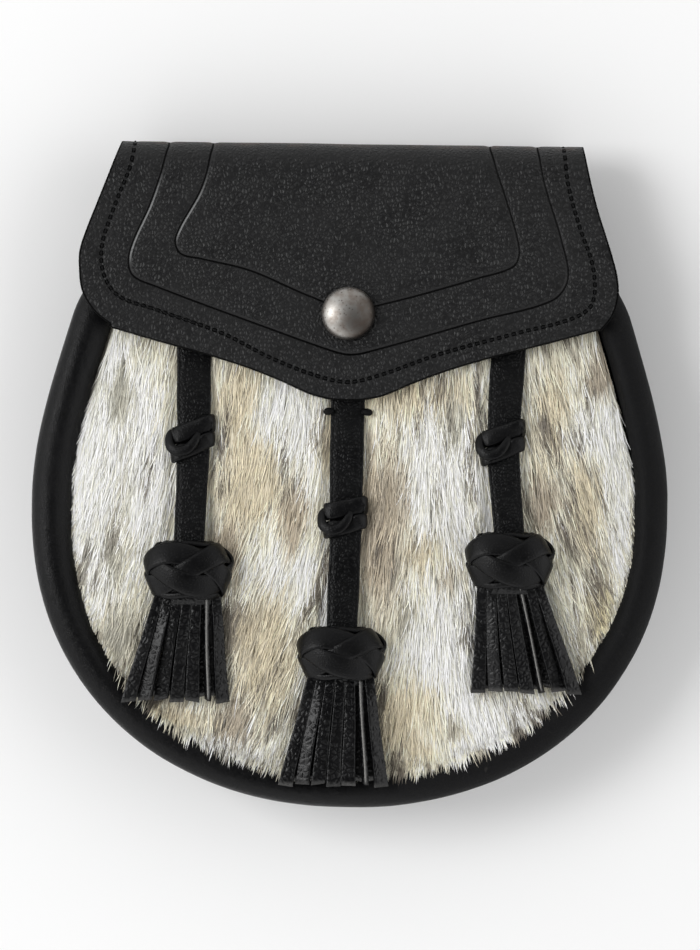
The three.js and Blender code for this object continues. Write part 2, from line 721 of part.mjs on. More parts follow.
addPiece('back_panel', backPanel(), BLACK_LEATHER);
addPiece('gusset', gusset(), BLACK_LEATHER);
addPiece('front_rim', frontRim(), RIM_LEATHER);
addPiece('hide_front', hideFront(), GOAT_HAIR);
addPiece('flap', flap(), BLACK_LEATHER);
addPiece('stud_cap', studCap(), PEWTER);
addPiece('stud_post', studPost(), PEWTER);
for (const tassel of TASSELS) {
  addPiece(`strap_${tassel.name}`, strap(tassel), BLACK_LEATHER);
  addPiece(`keeper_${tassel.name}`, keeper(tassel), LACE_LEATHER);
  addPiece(`tassel_head_${tassel.name}`, tasselHead(tassel), LACE_LEATHER);
  addPiece(`tassel_skirt_${tassel.name}`, tasselSkirt(tassel), BLACK_LEATHER);
}
addPiece('belt_loop_left', beltLoop(-LOOP_X), BLACK_LEATHER);
addPiece('belt_loop_right', beltLoop(LOOP_X), BLACK_LEATHER);

export default pouch;
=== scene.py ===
import math

import bmesh
import bpy
import numpy as np
from mathutils import Matrix, Vector


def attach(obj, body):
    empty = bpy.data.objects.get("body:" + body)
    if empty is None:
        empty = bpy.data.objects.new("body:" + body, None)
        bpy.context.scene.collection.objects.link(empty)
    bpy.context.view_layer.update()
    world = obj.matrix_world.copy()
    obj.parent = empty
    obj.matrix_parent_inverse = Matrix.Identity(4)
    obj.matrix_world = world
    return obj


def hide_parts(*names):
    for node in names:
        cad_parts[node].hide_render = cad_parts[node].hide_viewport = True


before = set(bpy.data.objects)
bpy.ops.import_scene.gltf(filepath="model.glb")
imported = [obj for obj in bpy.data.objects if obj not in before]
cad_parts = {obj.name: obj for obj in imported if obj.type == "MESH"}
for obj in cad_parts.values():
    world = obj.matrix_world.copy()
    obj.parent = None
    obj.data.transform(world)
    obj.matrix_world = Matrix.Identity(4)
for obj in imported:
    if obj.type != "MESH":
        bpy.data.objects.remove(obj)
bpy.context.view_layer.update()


# Camera, floor and lamps. The pouch lies on its back on a pale floor, and is seen from straight above.
# It shows turned clockwise by less than a degree, so the camera is rolled the other way.
# The studio is pale all round and dark overhead. A soft lamp stands on the left, weaker ones elsewhere.
MM = 0.001
VIEW_TALL = 283.4 * MM
CAMERA_OVER_FRONT = 2470 * MM
FRONT_LEVEL = 27 * MM
CAMERA_ROLL = math.radians(0.75)


class Shade:
    """One output of a finish's nodes. Its sums, differences and products are Math nodes."""

    def __init__(self, finish, socket):
        self.finish = finish
        self.socket = socket

    def maths(self, operation, first, second):
        return self.finish.node("ShaderNodeMath", {"operation": operation}, {0: first, 1: second})

    def __add__(self, other):
        return self.maths("ADD", self, other)

    def __sub__(self, other):
        return self.maths("SUBTRACT", self, other)

    def __rsub__(self, other):
        return self.maths("SUBTRACT", other, self)

    def __mul__(self, other):
        return self.maths("MULTIPLY", self, other)

    def __abs__(self):
        return self.maths("ABSOLUTE", self, 0.0)

    def larger(self, other):
        return self.maths("MAXIMUM", self, other)

    __radd__ = __add__
    __rmul__ = __mul__


class Finish:
    """A material of the pouch. Sizes are in millimetres."""

    def __init__(self, name, constants):
        self.material = bpy.data.materials.new(name)
        self.material.use_nodes = True
        self.tree = self.material.node_tree
        self.surface = self.tree.nodes["Principled BSDF"]
        for socket, value in constants.items():
            self.surface.inputs[socket].default_value = value

    def node(self, kind, settings, sockets, output=0):
        made = self.tree.nodes.new(kind)
        for setting, value in settings.items():
            setattr(made, setting, value)
        for socket, value in sockets.items():
            self.feed(made.inputs[socket], value)
        return Shade(self, made.outputs[output])

    def feed(self, socket, value):
        if isinstance(value, Shade):
            self.tree.links.new(value.socket, socket)
        else:
            socket.default_value = value

    def set(self, socket, value):
        self.feed(self.surface.inputs[socket], value)

    def tone(self):
        """The colour that the finish has so far."""
        return Shade(self, self.surface.inputs["Base Color"].links[0].from_socket)

    def place(self):
        return self.node("ShaderNodeTexCoord", {}, {}, "Object")

    def place_along(self, axis):
        return self.node("ShaderNodeSeparateXYZ", {}, {0: self.place()}, axis)

    def cloud(self, vector, size, detail=2.0, output="Fac"):
        sockets = {"Vector": vector, "Scale": 1 / (size * MM), "Detail": detail}
        return self.node("ShaderNodeTexNoise", {}, sockets, output)

    def cells(self, vector, size, feature="F1"):
        sockets = {"Vector": vector, "Scale": 1 / (size * MM)}
        return self.node("ShaderNodeTexVoronoi", {"feature": feature}, sockets, "Distance")

    def attribute(self, name, output="Fac"):
        return self.node("ShaderNodeAttribute", {"attribute_name": name}, {}, output)

    def share(self, value, low, high, start=0.0, end=1.0):
        sockets = {0: value, 1: low, 2: high, 3: start, 4: end}
        return self.node("ShaderNodeMapRange", {"interpolation_type": "SMOOTHSTEP"}, sockets)

    def mixed(self, first, second, share):
        return self.node("ShaderNodeMix", {"data_type": "RGBA"}, {0: share, 6: first, 7: second}, 2)

    def wandered(self, vector, size, reach):
        """A place carried aside by up to reach, over lengths of size."""
        drift = self.cloud(vector, size, 1.0, "Color")
        moved = {0: drift, 1: (2 * reach * MM,) * 3, 2: (-reach * MM,) * 3}
        offset = self.node("ShaderNodeVectorMath", {"operation": "MULTIPLY_ADD"}, moved)
        return self.node("ShaderNodeVectorMath", {"operation": "ADD"}, {0: vector, 1: offset})

    def shadowed(self, share):
        """Mixes in a dull black where share says: painted shade, for grooves and needle holes that light
        doesn't reach.
        """
        sockets = {"Base Color": dye(3, 3, 3), "Roughness": 1.0, "Specular IOR Level": 0.0}
        dull = self.node("ShaderNodeBsdfPrincipled", {}, sockets, "BSDF")
        whole = Shade(self, self.surface.outputs["BSDF"])
        mixed = self.node("ShaderNodeMixShader", {}, {0: share, 1: whole, 2: dull})
        self.feed(self.tree.nodes["Material Output"].inputs["Surface"], mixed)

    def relief(self, height, deep):
        sockets = {"Height": height, "Distance": deep * MM}
        self.set("Normal", self.node("ShaderNodeBump", {}, sockets, "Normal"))


def dye(red, green, blue):
    """A colour as it looks, 0 to 255, turned into the renderer's light values."""
    values = [value / 255 for value in (red, green, blue)]
    return (*(v / 12.92 if v <= 0.04045 else ((v + 0.055) / 1.055) ** 2.4 for v in values), 1.0)


camera_data = bpy.data.cameras.new("camera")
camera = bpy.data.objects.new("camera", camera_data)
bpy.context.collection.objects.link(camera)
camera.location = (0, 0, CAMERA_OVER_FRONT + FRONT_LEVEL)
camera.rotation_euler = (0, 0, CAMERA_ROLL)
camera_data.lens = camera_data.sensor_width * CAMERA_OVER_FRONT / VIEW_TALL
camera_data.clip_end = 30
bpy.context.scene.camera = camera
bpy.context.scene.view_settings.view_transform = "Standard"

# Strength of the studio's pale sky: along each axis from, to, and its factor at either end.
SKY = {"Z": (0.5, 0.97, 1.62, 0.05), "X": (-1, 1, 1.14, 0.74), "Y": (0, 1, 0.92, 0.55)}
world = bpy.data.worlds.new("studio")
world.use_nodes = True
sky = world.node_tree
sky_place = sky.nodes.new("ShaderNodeTexCoord")
sky_parts = sky.nodes.new("ShaderNodeSeparateXYZ")
sky.links.new(sky_place.outputs["Generated"], sky_parts.inputs[0])
sky_light = None
for axis, limits in SKY.items():
    sky_share = sky.nodes.new("ShaderNodeMapRange")
    for socket, value in enumerate(limits, 1):
        sky_share.inputs[socket].default_value = value
    sky.links.new(sky_parts.outputs[axis], sky_share.inputs[0])
    if sky_light:
        sky_product = sky.nodes.new("ShaderNodeMath")
        sky_product.operation = "MULTIPLY"
        sky.links.new(sky_light, sky_product.inputs[0])
        sky.links.new(sky_share.outputs[0], sky_product.inputs[1])
        sky_light = sky_product.outputs[0]
    else:
        sky_light = sky_share.outputs[0]
sky.links.new(sky_light, sky.nodes["Background"].inputs["Strength"])
sky.nodes["Background"].inputs["Color"].default_value = (1, 1, 1, 1)
bpy.context.scene.world = world

LAMPS = {
    "lamp_left": {"at": (-1.6, 0.4, 1.7), "size": 1.1, "watts": 25},
    "lamp_right": {"at": (1.9, 0.1, 1.3), "size": 1.9, "watts": 10.5},
    "lamp_near": {"at": (-0.2, -2.1, 1.3), "size": 1.9, "watts": 3.5},
}
for name, lamp in LAMPS.items():
    light = bpy.data.lights.new(name, "AREA")
    light.energy = lamp["watts"]
    light.size = lamp["size"]
    holder = bpy.data.objects.new(name, light)
    holder.location = lamp["at"]
    holder.rotation_euler = (-Vector(lamp["at"])).to_track_quat("-Z", "Y").to_euler()
    bpy.context.collection.objects.link(holder)

floor_mesh = bmesh.new()
bmesh.ops.create_grid(floor_mesh, x_segments=2, y_segments=2, size=4)
floor_data = bpy.data.meshes.new("floor")
floor_mesh.to_mesh(floor_data)
floor_mesh.free()
floor = bpy.data.objects.new("floor", floor_data)
bpy.context.collection.objects.link(floor)
pale_floor = Finish("pale_floor", {"Roughness": 1.0, "Specular IOR Level": 0.0})
pale_floor.set("Base Color", dye(240, 240, 240))
floor_data.materials.append(pale_floor.material)


# Back panel: one flat sheet of black leather, 2.2 mm thick, that the pouch lies on.
# Its foot is level, and it rises towards the mouth. It is sewn to the gusset round its edge.
TALL = 198.5
BOTTOM = -TALL / 2
WIDEST_AT = 88
FULLNESS = 2.14
HALF_WIDTH = 95
BACK_THICK = 2.2
BACK_FLAT_TO = -86
BACK_RISE = 0.056
BACK_INSET = 2.6
BACK_TOP = 88
BACK_EDGE_ROUND = 0.5
SEAM_IN = 3.4
GAP = 0.3


def smooth(value, low, high):
    share = np.clip((value - low) / (high - low), 0, 1)
    return share * share * (3 - 2 * share)


def half_width(height):
    """Half the width of the pouch at a height over its bottom."""
    drop = np.clip((WIDEST_AT - height) / WIDEST_AT, 0, 1)
    low = HALF_WIDTH * (1 - drop**FULLNESS) ** (1 / FULLNESS)
    high = HALF_WIDTH - 0.36 * (np.hypot(np.maximum(0, height - 92), 30) - 30)
    return np.where(height <= WIDEST_AT, low, high)


def lengths_along(line):
    """Length of the way from the start of a line to each of its points."""
    return np.concatenate([[0], np.cumsum(np.hypot(*np.diff(line, axis=0).T))])


def on_line(line, lengths):
    """Places on a line, at the given lengths along it."""
    passed = lengths_along(line)
    return np.column_stack([np.interp(lengths, passed, line[:, axis]) for axis in (0, 1)])


def unit(rows):
    return rows / np.linalg.norm(rows, axis=1)[:, None]


def outline(top, inset, steps):
    """Even steps from the top left, round the bottom, to the top right, each with its outward direction."""
    side = np.linspace(top - BOTTOM, WIDEST_AT, 400)
    low = WIDEST_AT * (1 - np.sin(np.linspace(0, math.pi / 2, 500)) ** (2 / FULLNESS))
    heights = np.concatenate([side, low[1:]])
    left = np.column_stack([-half_width(heights), heights + BOTTOM])
    line = np.vstack([left, left[-2::-1] * (-1, 1)])
    even = np.linspace(0, lengths_along(line)[-1], steps + 1)
    along = unit(on_line(line, even + 0.4) - on_line(line, even - 0.4))
    outward = np.column_stack([along[:, 1], -along[:, 0]])
    return on_line(line, even) - outward * inset, outward


def back_face(y):
    return BACK_RISE * np.maximum(0, y - BACK_FLAT_TO)


def leather(name, tone, crease_shade_tone, roughness, pebble, deep, pressed=None, gloss=0.3):
    """Black leather with a pebbled grain, painted darker in the creases between its pebbles, as shade.
    pressed tells where a tool or a needle flattened it.
    """
    finish = Finish(name, {"Specular IOR Level": gloss})
    place = finish.place()
    wandered = finish.wandered(place, 2.6 * pebble, 0.35 * pebble)
    pebbles = finish.share(finish.cells(wandered, pebble, "DISTANCE_TO_EDGE"), 0.0, 0.5)
    pores = finish.cloud(place, 0.4 * pebble, 3.0)
    patches = finish.cloud(place, 14, 3.0)
    height = pebbles * 1.1 + pores * 0.2 + finish.cloud(place, 1.6 * pebble) * 0.6
    # Where crease is low, between the pebbles, the colour goes darker: painted shade in the creases, mixed
    # with patches of tone that differ at random.
    crease = pebbles * 0.9 + patches * 0.4
    if pressed:
        mark = pressed(finish)
        height = height * (1 - mark * 0.85) - mark * 1.6
        # Pressed places are painted darker too: painted shade in the tooled lines and needle holes.
        crease = crease * (1 - mark * 0.9)
    finish.set("Base Color", finish.mixed(crease_shade_tone, tone, finish.share(crease, 0.1, 1.0)))
    dullness = finish.share(patches + pores * 0.5, 0.45, 1.05, roughness - 0.06, roughness + 0.07)
    finish.set("Roughness", dullness)
    finish.relief(height, deep)
    return finish


def made(name, mesh, finish, slot, stands_for=()):
    """Turns a mesh in millimetres into a piece of the pouch."""
    bmesh.ops.scale(mesh, vec=(MM, MM, MM), verts=mesh.verts)
    data = bpy.data.meshes.new(name)
    mesh.to_mesh(data)
    mesh.free()
    return finished(name, data, finish, stands_for)


def finished(name, data, finish, stands_for=()):
    data.shade_smooth()
    data.materials.append(finish.material)
    piece = bpy.data.objects.new(name, data)
    bpy.context.collection.objects.link(piece)
    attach(piece, "root")
    if stands_for:
        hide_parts(*stands_for)
    return piece


def thread_stitch(length, thick):
    """One stitch of waxed thread along X, as arrays of corners and of triangles."""
    stitch = bmesh.new()
    bmesh.ops.create_icosphere(stitch, subdivisions=2, radius=1)
    corners = np.array([vert.co[:] for vert in stitch.verts]) * (length / 2, thick / 2, thick / 2)
    triangles = np.array([[vert.index for vert in face.verts] for face in stitch.faces])
    stitch.free()
    return corners, triangles


def joined(name, corners, triangles):
    """A mesh in metres from arrays of corners, in millimetres, and triangles."""
    data = bpy.data.meshes.new(name)
    data.vertices.add(len(corners))
    data.vertices.foreach_set("co", (corners * MM).ravel())
    data.loops.add(triangles.size)
    data.loops.foreach_set("vertex_index", triangles.ravel().astype(np.int32))
    data.polygons.add(len(triangles))
    data.polygons.foreach_set("loop_start", np.arange(0, triangles.size, 3, dtype=np.int32))
    data.update(calc_edges=True)
    return data


def sewn(name, places, along, out, length, thick):
    """A row of stitches as one piece, each lying along its seam with its back to the leather."""
    corners, triangles = thread_stitch(length, thick)
    along = unit(along)
    aside = unit(np.cross(out, along))
    upward = np.cross(along, aside)
    turned = corners[None, :, :1] * along[:, None] + corners[None, :, 1:2] * aside[:, None]
    turned = turned + corners[None, :, 2:] * upward[:, None] + places[:, None]
    shifts = np.arange(len(places))[:, None, None] * len(corners)
    row = joined(name, turned.reshape(-1, 3), (triangles[None] + shifts).reshape(-1, 3))
    return finished(name, row, thread)


back_leather = leather("back_leather", dye(22, 22, 24), dye(9, 9, 10), 0.56, 1.0, 0.12)
thread = Finish("waxed_thread", {"Specular IOR Level": 0.1})
thread.set("Base Color", thread.mixed(dye(5, 5, 6), dye(14, 14, 15), thread.cloud(thread.place(), 0.25)))
thread.set("Roughness", thread.share(thread.cloud(thread.place(), 0.6), 0.3, 0.7, 0.5, 0.68))
thread.relief(thread.cloud(thread.place(), 0.12), 0.05)

panel = bmesh.new()
panel_edge, _ = outline(BACK_TOP, BACK_INSET, 150)
panel.faces.new([panel.verts.new((x, y, 0)) for x, y in panel_edge])
for level in (BACK_FLAT_TO, -40, 10, 55):
    cut = panel.verts[:] + panel.edges[:] + panel.faces[:]
    bmesh.ops.bisect_plane(panel, geom=cut, plane_co=(0, level, 0), plane_no=(0, 1, 0))
for vert in panel.verts:
    vert.co.z = back_face(vert.co.y)
raised = bmesh.ops.extrude_face_region(panel, geom=panel.faces[:])["geom"]
raised = [part for part in raised if isinstance(part, bmesh.types.BMVert)]
bmesh.ops.translate(panel, vec=(0, 0, BACK_THICK), verts=raised)
bmesh.ops.recalc_face_normals(panel, faces=panel.faces)
sharp = [edge for edge in panel.edges if edge.calc_face_angle() > math.radians(50)]
bmesh.ops.bevel(
    panel, geom=sharp, offset=BACK_EDGE_ROUND, segments=2, profile=0.5, affect="EDGES", material=-1,
    clamp_overlap=True,
)
made("back_panel_leather", panel, back_leather, "black_leather", ["back_panel"])

seam_steps = outline(BACK_TOP - 3, BACK_INSET + SEAM_IN, 480)[0][::3]
seam_steps = np.column_stack([seam_steps, back_face(seam_steps[:, 1]) + 0.22])
seam_ways = seam_steps[2:] - seam_steps[:-2]
sewn("back_panel_stitches", seam_steps[1:-1], seam_ways, (0, 0, -1), length=2.3, thick=0.6)


# Gusset: a leather wall, 1.8 mm thick, round the sides and the bottom between back and front.
# It is turned in and sewn at both edges, and bows inwards between them in shallow creases.
SEAM_LOW = 26
SEAM_HIGH = 19.3
SEAM_FROM = -93
SEAM_SPAN = 178
RIM_HALF_HIGH = 5.6
RIM_TOP_HALF_HIGH = 2.2
RIM_TOP = 82
RIM_RAISED = 0.6
GUSSET_THICK = 1.8
GUSSET_INSET = 4.2
GUSSET_STEPS = 260


def seam(y):
    """Height of the seam where gusset, rim and hide meet."""
    return SEAM_LOW + (SEAM_HIGH - SEAM_LOW) * (y - SEAM_FROM) / SEAM_SPAN


def rim_half_height(y):
    return RIM_HALF_HIGH + (RIM_TOP_HALF_HIGH - RIM_HALF_HIGH) * smooth(y, 30, 85)


def draped(columns, rows, place):
    """A grid whose corners go where place says, from each corner's share across and along, 0 to 1."""
    sheet = bmesh.new()
    bmesh.ops.create_grid(sheet, x_segments=columns, y_segments=rows, size=0.5)
    shares = np.array([vert.co[:2] for vert in sheet.verts]) + 0.5
    for vert, point in zip(sheet.verts, place(shares[:, 0], shares[:, 1])):
        vert.co = point
    return sheet


def rolled(columns, rows, place):
    """A draped sheet whose two long edges meet, closed at its ends."""
    tube = draped(columns, rows, place)
    bmesh.ops.remove_doubles(tube, verts=tube.verts, dist=0.002)
    bmesh.ops.holes_fill(tube, edges=[edge for edge in tube.edges if edge.is_boundary], sides=0)
    bmesh.ops.recalc_face_normals(tube, faces=tube.faces)
    return tube


def gusset_place(around, along):
    places, outward = outline(RIM_TOP, 0, GUSSET_STEPS)
    step = np.rint(along * GUSSET_STEPS).astype(int)
    y = places[step, 1]
    outside = around < 0.5
    rise = np.where(outside, 2 * around, 2 - 2 * around)
    crease = 0.3 * np.sin(step * 0.9 + 2 * np.sin(step * 0.13)) * np.sin(math.pi * rise)
    bowed_in = 0.2 * rise + 7.2 * rise * (1 - rise) + crease
    inset = GUSSET_INSET + bowed_in + np.where(outside, 0, GUSSET_THICK)
    place = places[step] - outward[step] * inset[:, None]
    low = back_face(y) + BACK_THICK + 1.5 * GAP
    high = seam(y) + RIM_RAISED - rim_half_height(y) + GAP
    return np.column_stack([place, low + (high - low) * rise])


gusset_leather = leather("gusset_leather", dye(20, 20, 22), dye(9, 9, 10), 0.52, 0.8, 0.1)
gusset = rolled(20, GUSSET_STEPS, gusset_place)
made("gusset_wall", gusset, gusset_leather, "black_leather", ["gusset"])


# Front rim: a smooth black leather welt, padded to a roll, that frames the hide and slims under the flap.
# It is sewn down along its inner side, beside the hair, where it puckers a little.
RIM_HALF_WIDTH = 5.7
RIM_STEPS = 300


def ripple(value, seed):
    """A smooth random line from -1 to 1, one wave for each unit of its value."""
    knots = np.random.default_rng(seed).uniform(-1, 1, 512)
    low = np.floor(value).astype(int)
    share = smooth(value - low, 0, 1)
    return knots[low % 512] * (1 - share) + knots[(low + 1) % 512] * share


def welt_reach(x, y):
    """How much farther in the welt reaches than in the middle. It is fuller on the left."""
    return (0.9 * smooth(-x, 10, 60) - 1.3 * smooth(x, 10, 60)) * smooth(y, -62, -25)


def rim_place(around, along):
    places, outward = outline(RIM_TOP, RIM_HALF_WIDTH, RIM_STEPS)
    step = np.rint(along * RIM_STEPS).astype(int)
    angle = 2 * math.pi * (around % 1)
    y = places[step, 1]
    inner = np.exp(-(((angle - 1.68 * math.pi) / 0.16) ** 2))
    puckered = smooth(np.cos(angle - 1.55 * math.pi), 0.3, 1)
    swell = 0.988 + 0.012 * ripple(along * 40, 3) - 0.02 * puckered * (1 + ripple(along * 130, 8))
    swell = swell + 0.02 * inner * smooth(-y, -20, 40)
    drawn_in = 1.6 * smooth(y, 46, 62)
    wider = welt_reach(*places[step].T) * smooth(-np.sin(angle), 0, 1)
    slim = RIM_HALF_WIDTH * swell + wider - 0.4 * drawn_in
    place = places[step] + outward[step] * (slim * np.sin(angle) - drawn_in)[:, None]
    return np.column_stack([place, seam(y) + RIM_RAISED + rim_half_height(y) * swell * np.cos(angle)])


def rim_finish():
    finish = Finish("rim_leather", {"Specular IOR Level": 0.13})
    place = finish.place()
    cells = finish.cells(finish.wandered(place, 1.4, 0.2), 0.55, "DISTANCE_TO_EDGE")
    grain = finish.share(cells, 0.0, 0.3)
    patches = finish.cloud(place, 16, 3.0)
    scuffs = finish.share(finish.cloud(finish.wandered(place, 5, 3), 2.2, 4.0), 0.63, 0.74)
    worn = scuffs * finish.share(finish.cloud(place, 22), 0.42, 0.6)
    # Where the grain's cells meet, the colour goes darker: painted shade in its creases, mixed with patches
    # of tone that differ at random.
    patches_and_crease_shade = finish.share(patches * 0.6 + grain * 0.5, 0.2, 0.9)
    base = finish.mixed(dye(8, 8, 9), dye(17, 17, 18), patches_and_crease_shade)
    finish.set("Base Color", finish.mixed(base, dye(48, 46, 45), worn * 0.5))
    to_the_right = finish.share(finish.place_along("X"), -20 * MM, 50 * MM, 0.0, 0.3)
    finish.set("Roughness", finish.share(patches + worn * 0.5, 0.3, 0.9, 0.31, 0.46) + to_the_right)
    dents = finish.cloud(place, 1.2, 3.0) * 0.7 + finish.cloud(place, 3.6) * 2.2
    finish.relief(grain * 0.3 + dents - worn * 0.5, 0.11)
    return finish


welt = rolled(28, RIM_STEPS, rim_place)
rim = made("front_rim_welt", welt, rim_finish(), "rim_leather", ["front_rim"])


# Hide: the front wall is goat skin with its hair on. The skin bulges a little over its lining.
# The hair lies down the front in locks of cream, tan and taupe. Its tips lap over the rim at the bottom.
HIDE_TOP = 84
HIDE_THICK = 2.2
HIDE_CROWN = 5.2
HIDE_STEPS = 400
HIDE_EDGE, _ = outline(HIDE_TOP, 2 * RIM_HALF_WIDTH + 2.5 * GAP, HIDE_STEPS)
HIDE_SIDE = HIDE_EDGE[HIDE_STEPS // 2 :]
HIDE_BOTTOM = HIDE_SIDE[0, 1] + 0.9


def hide_face(x, y):
    """Outer face of the skin, under the hair."""
    across = np.clip(np.abs(x) / np.interp(y, HIDE_SIDE[:, 1], HIDE_SIDE[:, 0] + 0.01), 0, 1)
    along = smooth(HIDE_TOP - y, 0, HIDE_TOP) * smooth(y - HIDE_BOTTOM, -4, 46)
    return seam(y) + 0.8 + HIDE_CROWN * (1 - across**2.4) * along


def skin_place(across, along):
    y = HIDE_BOTTOM + (HIDE_TOP - HIDE_BOTTOM) * (0.4 * along + 0.6 * along * along)
    x = (2 * across - 1) * np.interp(y, HIDE_SIDE[:, 1], HIDE_SIDE[:, 0])
    return np.column_stack([x - np.sign(x) * np.minimum(welt_reach(x, y), 0), y, hide_face(x, y) - 0.1])


TONES = {
    "cream": (255, 254, 241),
    "tan": (204, 192, 164),
    "straw": (209, 197, 156),
    "taupe": (166, 152, 130),
    "mauve": (158, 145, 126),
    "grey": (160, 157, 143),
    "dark": (88, 78, 67),
}
# Markings of the coat: tone, middle, half width and half height, in millimetres.
MARKINGS = [
    ("cream", -72, 13, 13, 33), ("cream", -74, -20, 9, 18), ("cream", -60, 1, 8, 21),
    ("grey", -67, 26, 3, 8), ("grey", -68, -20, 2.7, 9), ("grey", -66, -46, 6, 9),
    ("tan", -34, 25, 8, 11), ("cream", -16, 15, 10, 16), ("tan", -28, 1, 13, 12),
    ("taupe", -35, -20, 6, 8), ("cream", -17, -27, 9, 9.5), ("dark", -31, -42, 5, 9),
    ("tan", -22, -49, 8, 17), ("mauve", -31, -72, 6, 8), ("tan", -47, -70, 12, 3.6),
    ("cream", -38, -81, 15, 5), ("tan", 21, 28, 18, 6), ("cream", 27, 2, 12, 22),
    ("grey", 30, 20, 2.4, 9), ("taupe", 11, -13, 6.6, 25), ("tan", 21, -19, 6, 4),
    ("mauve", 30, -28, 3.6, 4), ("grey", 19, -40, 3, 6), ("cream", 31, -46, 10, 16),
    ("tan", 18, -73, 11, 13), ("cream", 46, -72, 19, 10), ("tan", 58, 20, 5.4, 17),
    ("mauve", 73, 32, 5.4, 9), ("cream", 71, 17, 10, 10), ("mauve", 56, -4, 4, 7),
    ("tan", 67, -7, 5.4, 18), ("cream", 78, -5, 4.5, 24), ("straw", 72, -36, 4.5, 11),
    ("cream", 39, -25, 4, 18), ("tan", 52, -78, 5.4, 3.6), ("taupe", -15, -8, 3.6, 12),
    ("cream", -4, -37, 3, 15), ("tan", -6, 13, 3, 9),
]
# How far the hair leans from straight down, in degrees, at the flap and at the bottom.
LEAN_AT = (-84, -60, -42, -28, -15, 0, 15, 30, 50, 62, 72, 84)
LEAN_HIGH = (-7, -7, -3, -4, -6, -4, -3, 0, 6, 12, 11, 6)
LEAN_LOW = (-22, -16, -8, -18, -19, -8, -8, 8, 16, 24, 20, 18)
HAIRS = 96000
HAIR_PIECES = 3
HAIR_LENGTH = (10, 21)
HAIR_WIDTH = (0.16, 0.36)
LOCK_WIDE = 2.6
LOCK_TALL = 7
COAT_DEEP = 2.7
PRESSED_DEEP = 1.1


def charted(chart, x, y, eased):
    """A value between the four nearest entries of a square chart, which repeats past its edges."""
    column, row = np.floor(x).astype(int), np.floor(y).astype(int)
    across, along = x - column, y - row
    if eased:
        across, along = smooth(across, 0, 1), smooth(along, 0, 1)

    def between(line):
        here, beyond = (chart[place % len(chart), line % len(chart)] for place in (column, column + 1))
        return here * (1 - across) + beyond * across

    return between(row) * (1 - along) + between(row + 1) * along


def mottle(x, y, seed):
    """Smooth random values from 0 to 1 over a plane, one patch for each unit."""
    return charted(np.random.default_rng(seed).uniform(0, 1, (256, 256)), x, y, True)


def lean(x, y):
    """Angle of the hair from straight down, towards the right, in radians."""
    low = np.interp(x, LEAN_AT, LEAN_LOW)
    high = np.interp(x, LEAN_AT, LEAN_HIGH)
    down = np.clip((40 - y) / 120, 0, 1)
    sway = 9 * (mottle(x / 14 + 40, y / 22 + 40, 5) - 0.5)
    return np.radians(high + (low - high) * down + sway)


def coat_tone(x, y):
    """Colour of the coat at a place, as light values."""
    aside = x + np.tan(lean(x, y)) * y
    streak = mottle(aside / 1.5 + 90, y / 15 + 90, 11)
    broad = mottle(aside / 4.5 + 20, y / 26 + 20, 12)
    tone = np.tile(np.array(dye(241, 235, 213)[:3]), (len(x), 1))
    for name, middle_x, middle_y, wide, tall in MARKINGS:
        away = np.hypot((x - middle_x) / wide, (y - middle_y) / tall)
        away = away + 0.75 * (streak - 0.5) + 0.5 * (broad - 0.5)
        cover = (0.9 * smooth(-away, -1.35, -0.6))[:, None]
        tone = tone * (1 - cover) + np.array(dye(*TONES[name])[:3]) * cover
    fine = mottle(aside / 0.6 + 10, y / 7 + 10, 13)
    darker_low = 0.3 * smooth(-y, 40, 70) - 0.12 * smooth(-x, 40, 60)
    dark = 0.95 * smooth(0.6 * streak + 0.4 * fine, 0.5, 0.76) * smooth(broad + darker_low, 0.2, 0.65)
    tone = tone * (1 - dark)[:, None] + np.array(dye(*TONES["dark"])[:3]) * dark[:, None]
    return tone * (1.03 + 0.26 * (1 - fine) * (0.6 + 0.4 * broad))[:, None]


skin_finish = Finish("goat_skin", {"Specular IOR Level": 0.2, "Roughness": 0.9})
skin_tone = skin_finish.attribute("coat", "Color")
long_streaks = {"Vector": skin_finish.place(), "Scale": (1, 0.08, 1)}
skin_streaks_and_shade = skin_finish.cloud(skin_finish.node("ShaderNodeMapping", {}, long_streaks), 0.7, 4.0)
# The skin's colour is the coat's, drawn in streaks towards a dark brown: painted shadow between the hairs.
skin_finish.set("Base Color", skin_finish.mixed(skin_tone, dye(96, 86, 74), skin_streaks_and_shade))
skin_finish.relief(skin_streaks_and_shade, 0.5)


def laid_face_up(sheet):
    sheet.normal_update()
    if sum(face.normal.z for face in sheet.faces) < 0:
        bmesh.ops.reverse_faces(sheet, faces=sheet.faces)


skin = draped(70, 70, skin_place)
bmesh.ops.remove_doubles(skin, verts=skin.verts, dist=0.002)
bmesh.ops.recalc_face_normals(skin, faces=skin.faces)
laid_face_up(skin)
bmesh.ops.solidify(skin, geom=skin.faces[:], thickness=HIDE_THICK)
bmesh.ops.recalc_face_normals(skin, faces=skin.faces)
hide_skin = made("hide_skin", skin, skin_finish, "goat_hide", ["hide_front"])


def painted(data, tones):
    """Gives each corner of a mesh its coat colour."""
    coat = data.color_attributes.new("coat", "FLOAT_COLOR", "POINT")
    coat.data.foreach_set("color", np.column_stack([tones, np.ones(len(tones))]).astype(np.float32).ravel())


skin_places = np.array([vert.co[:2] for vert in hide_skin.data.vertices]) / MM
painted(hide_skin.data, coat_tone(*skin_places.T))

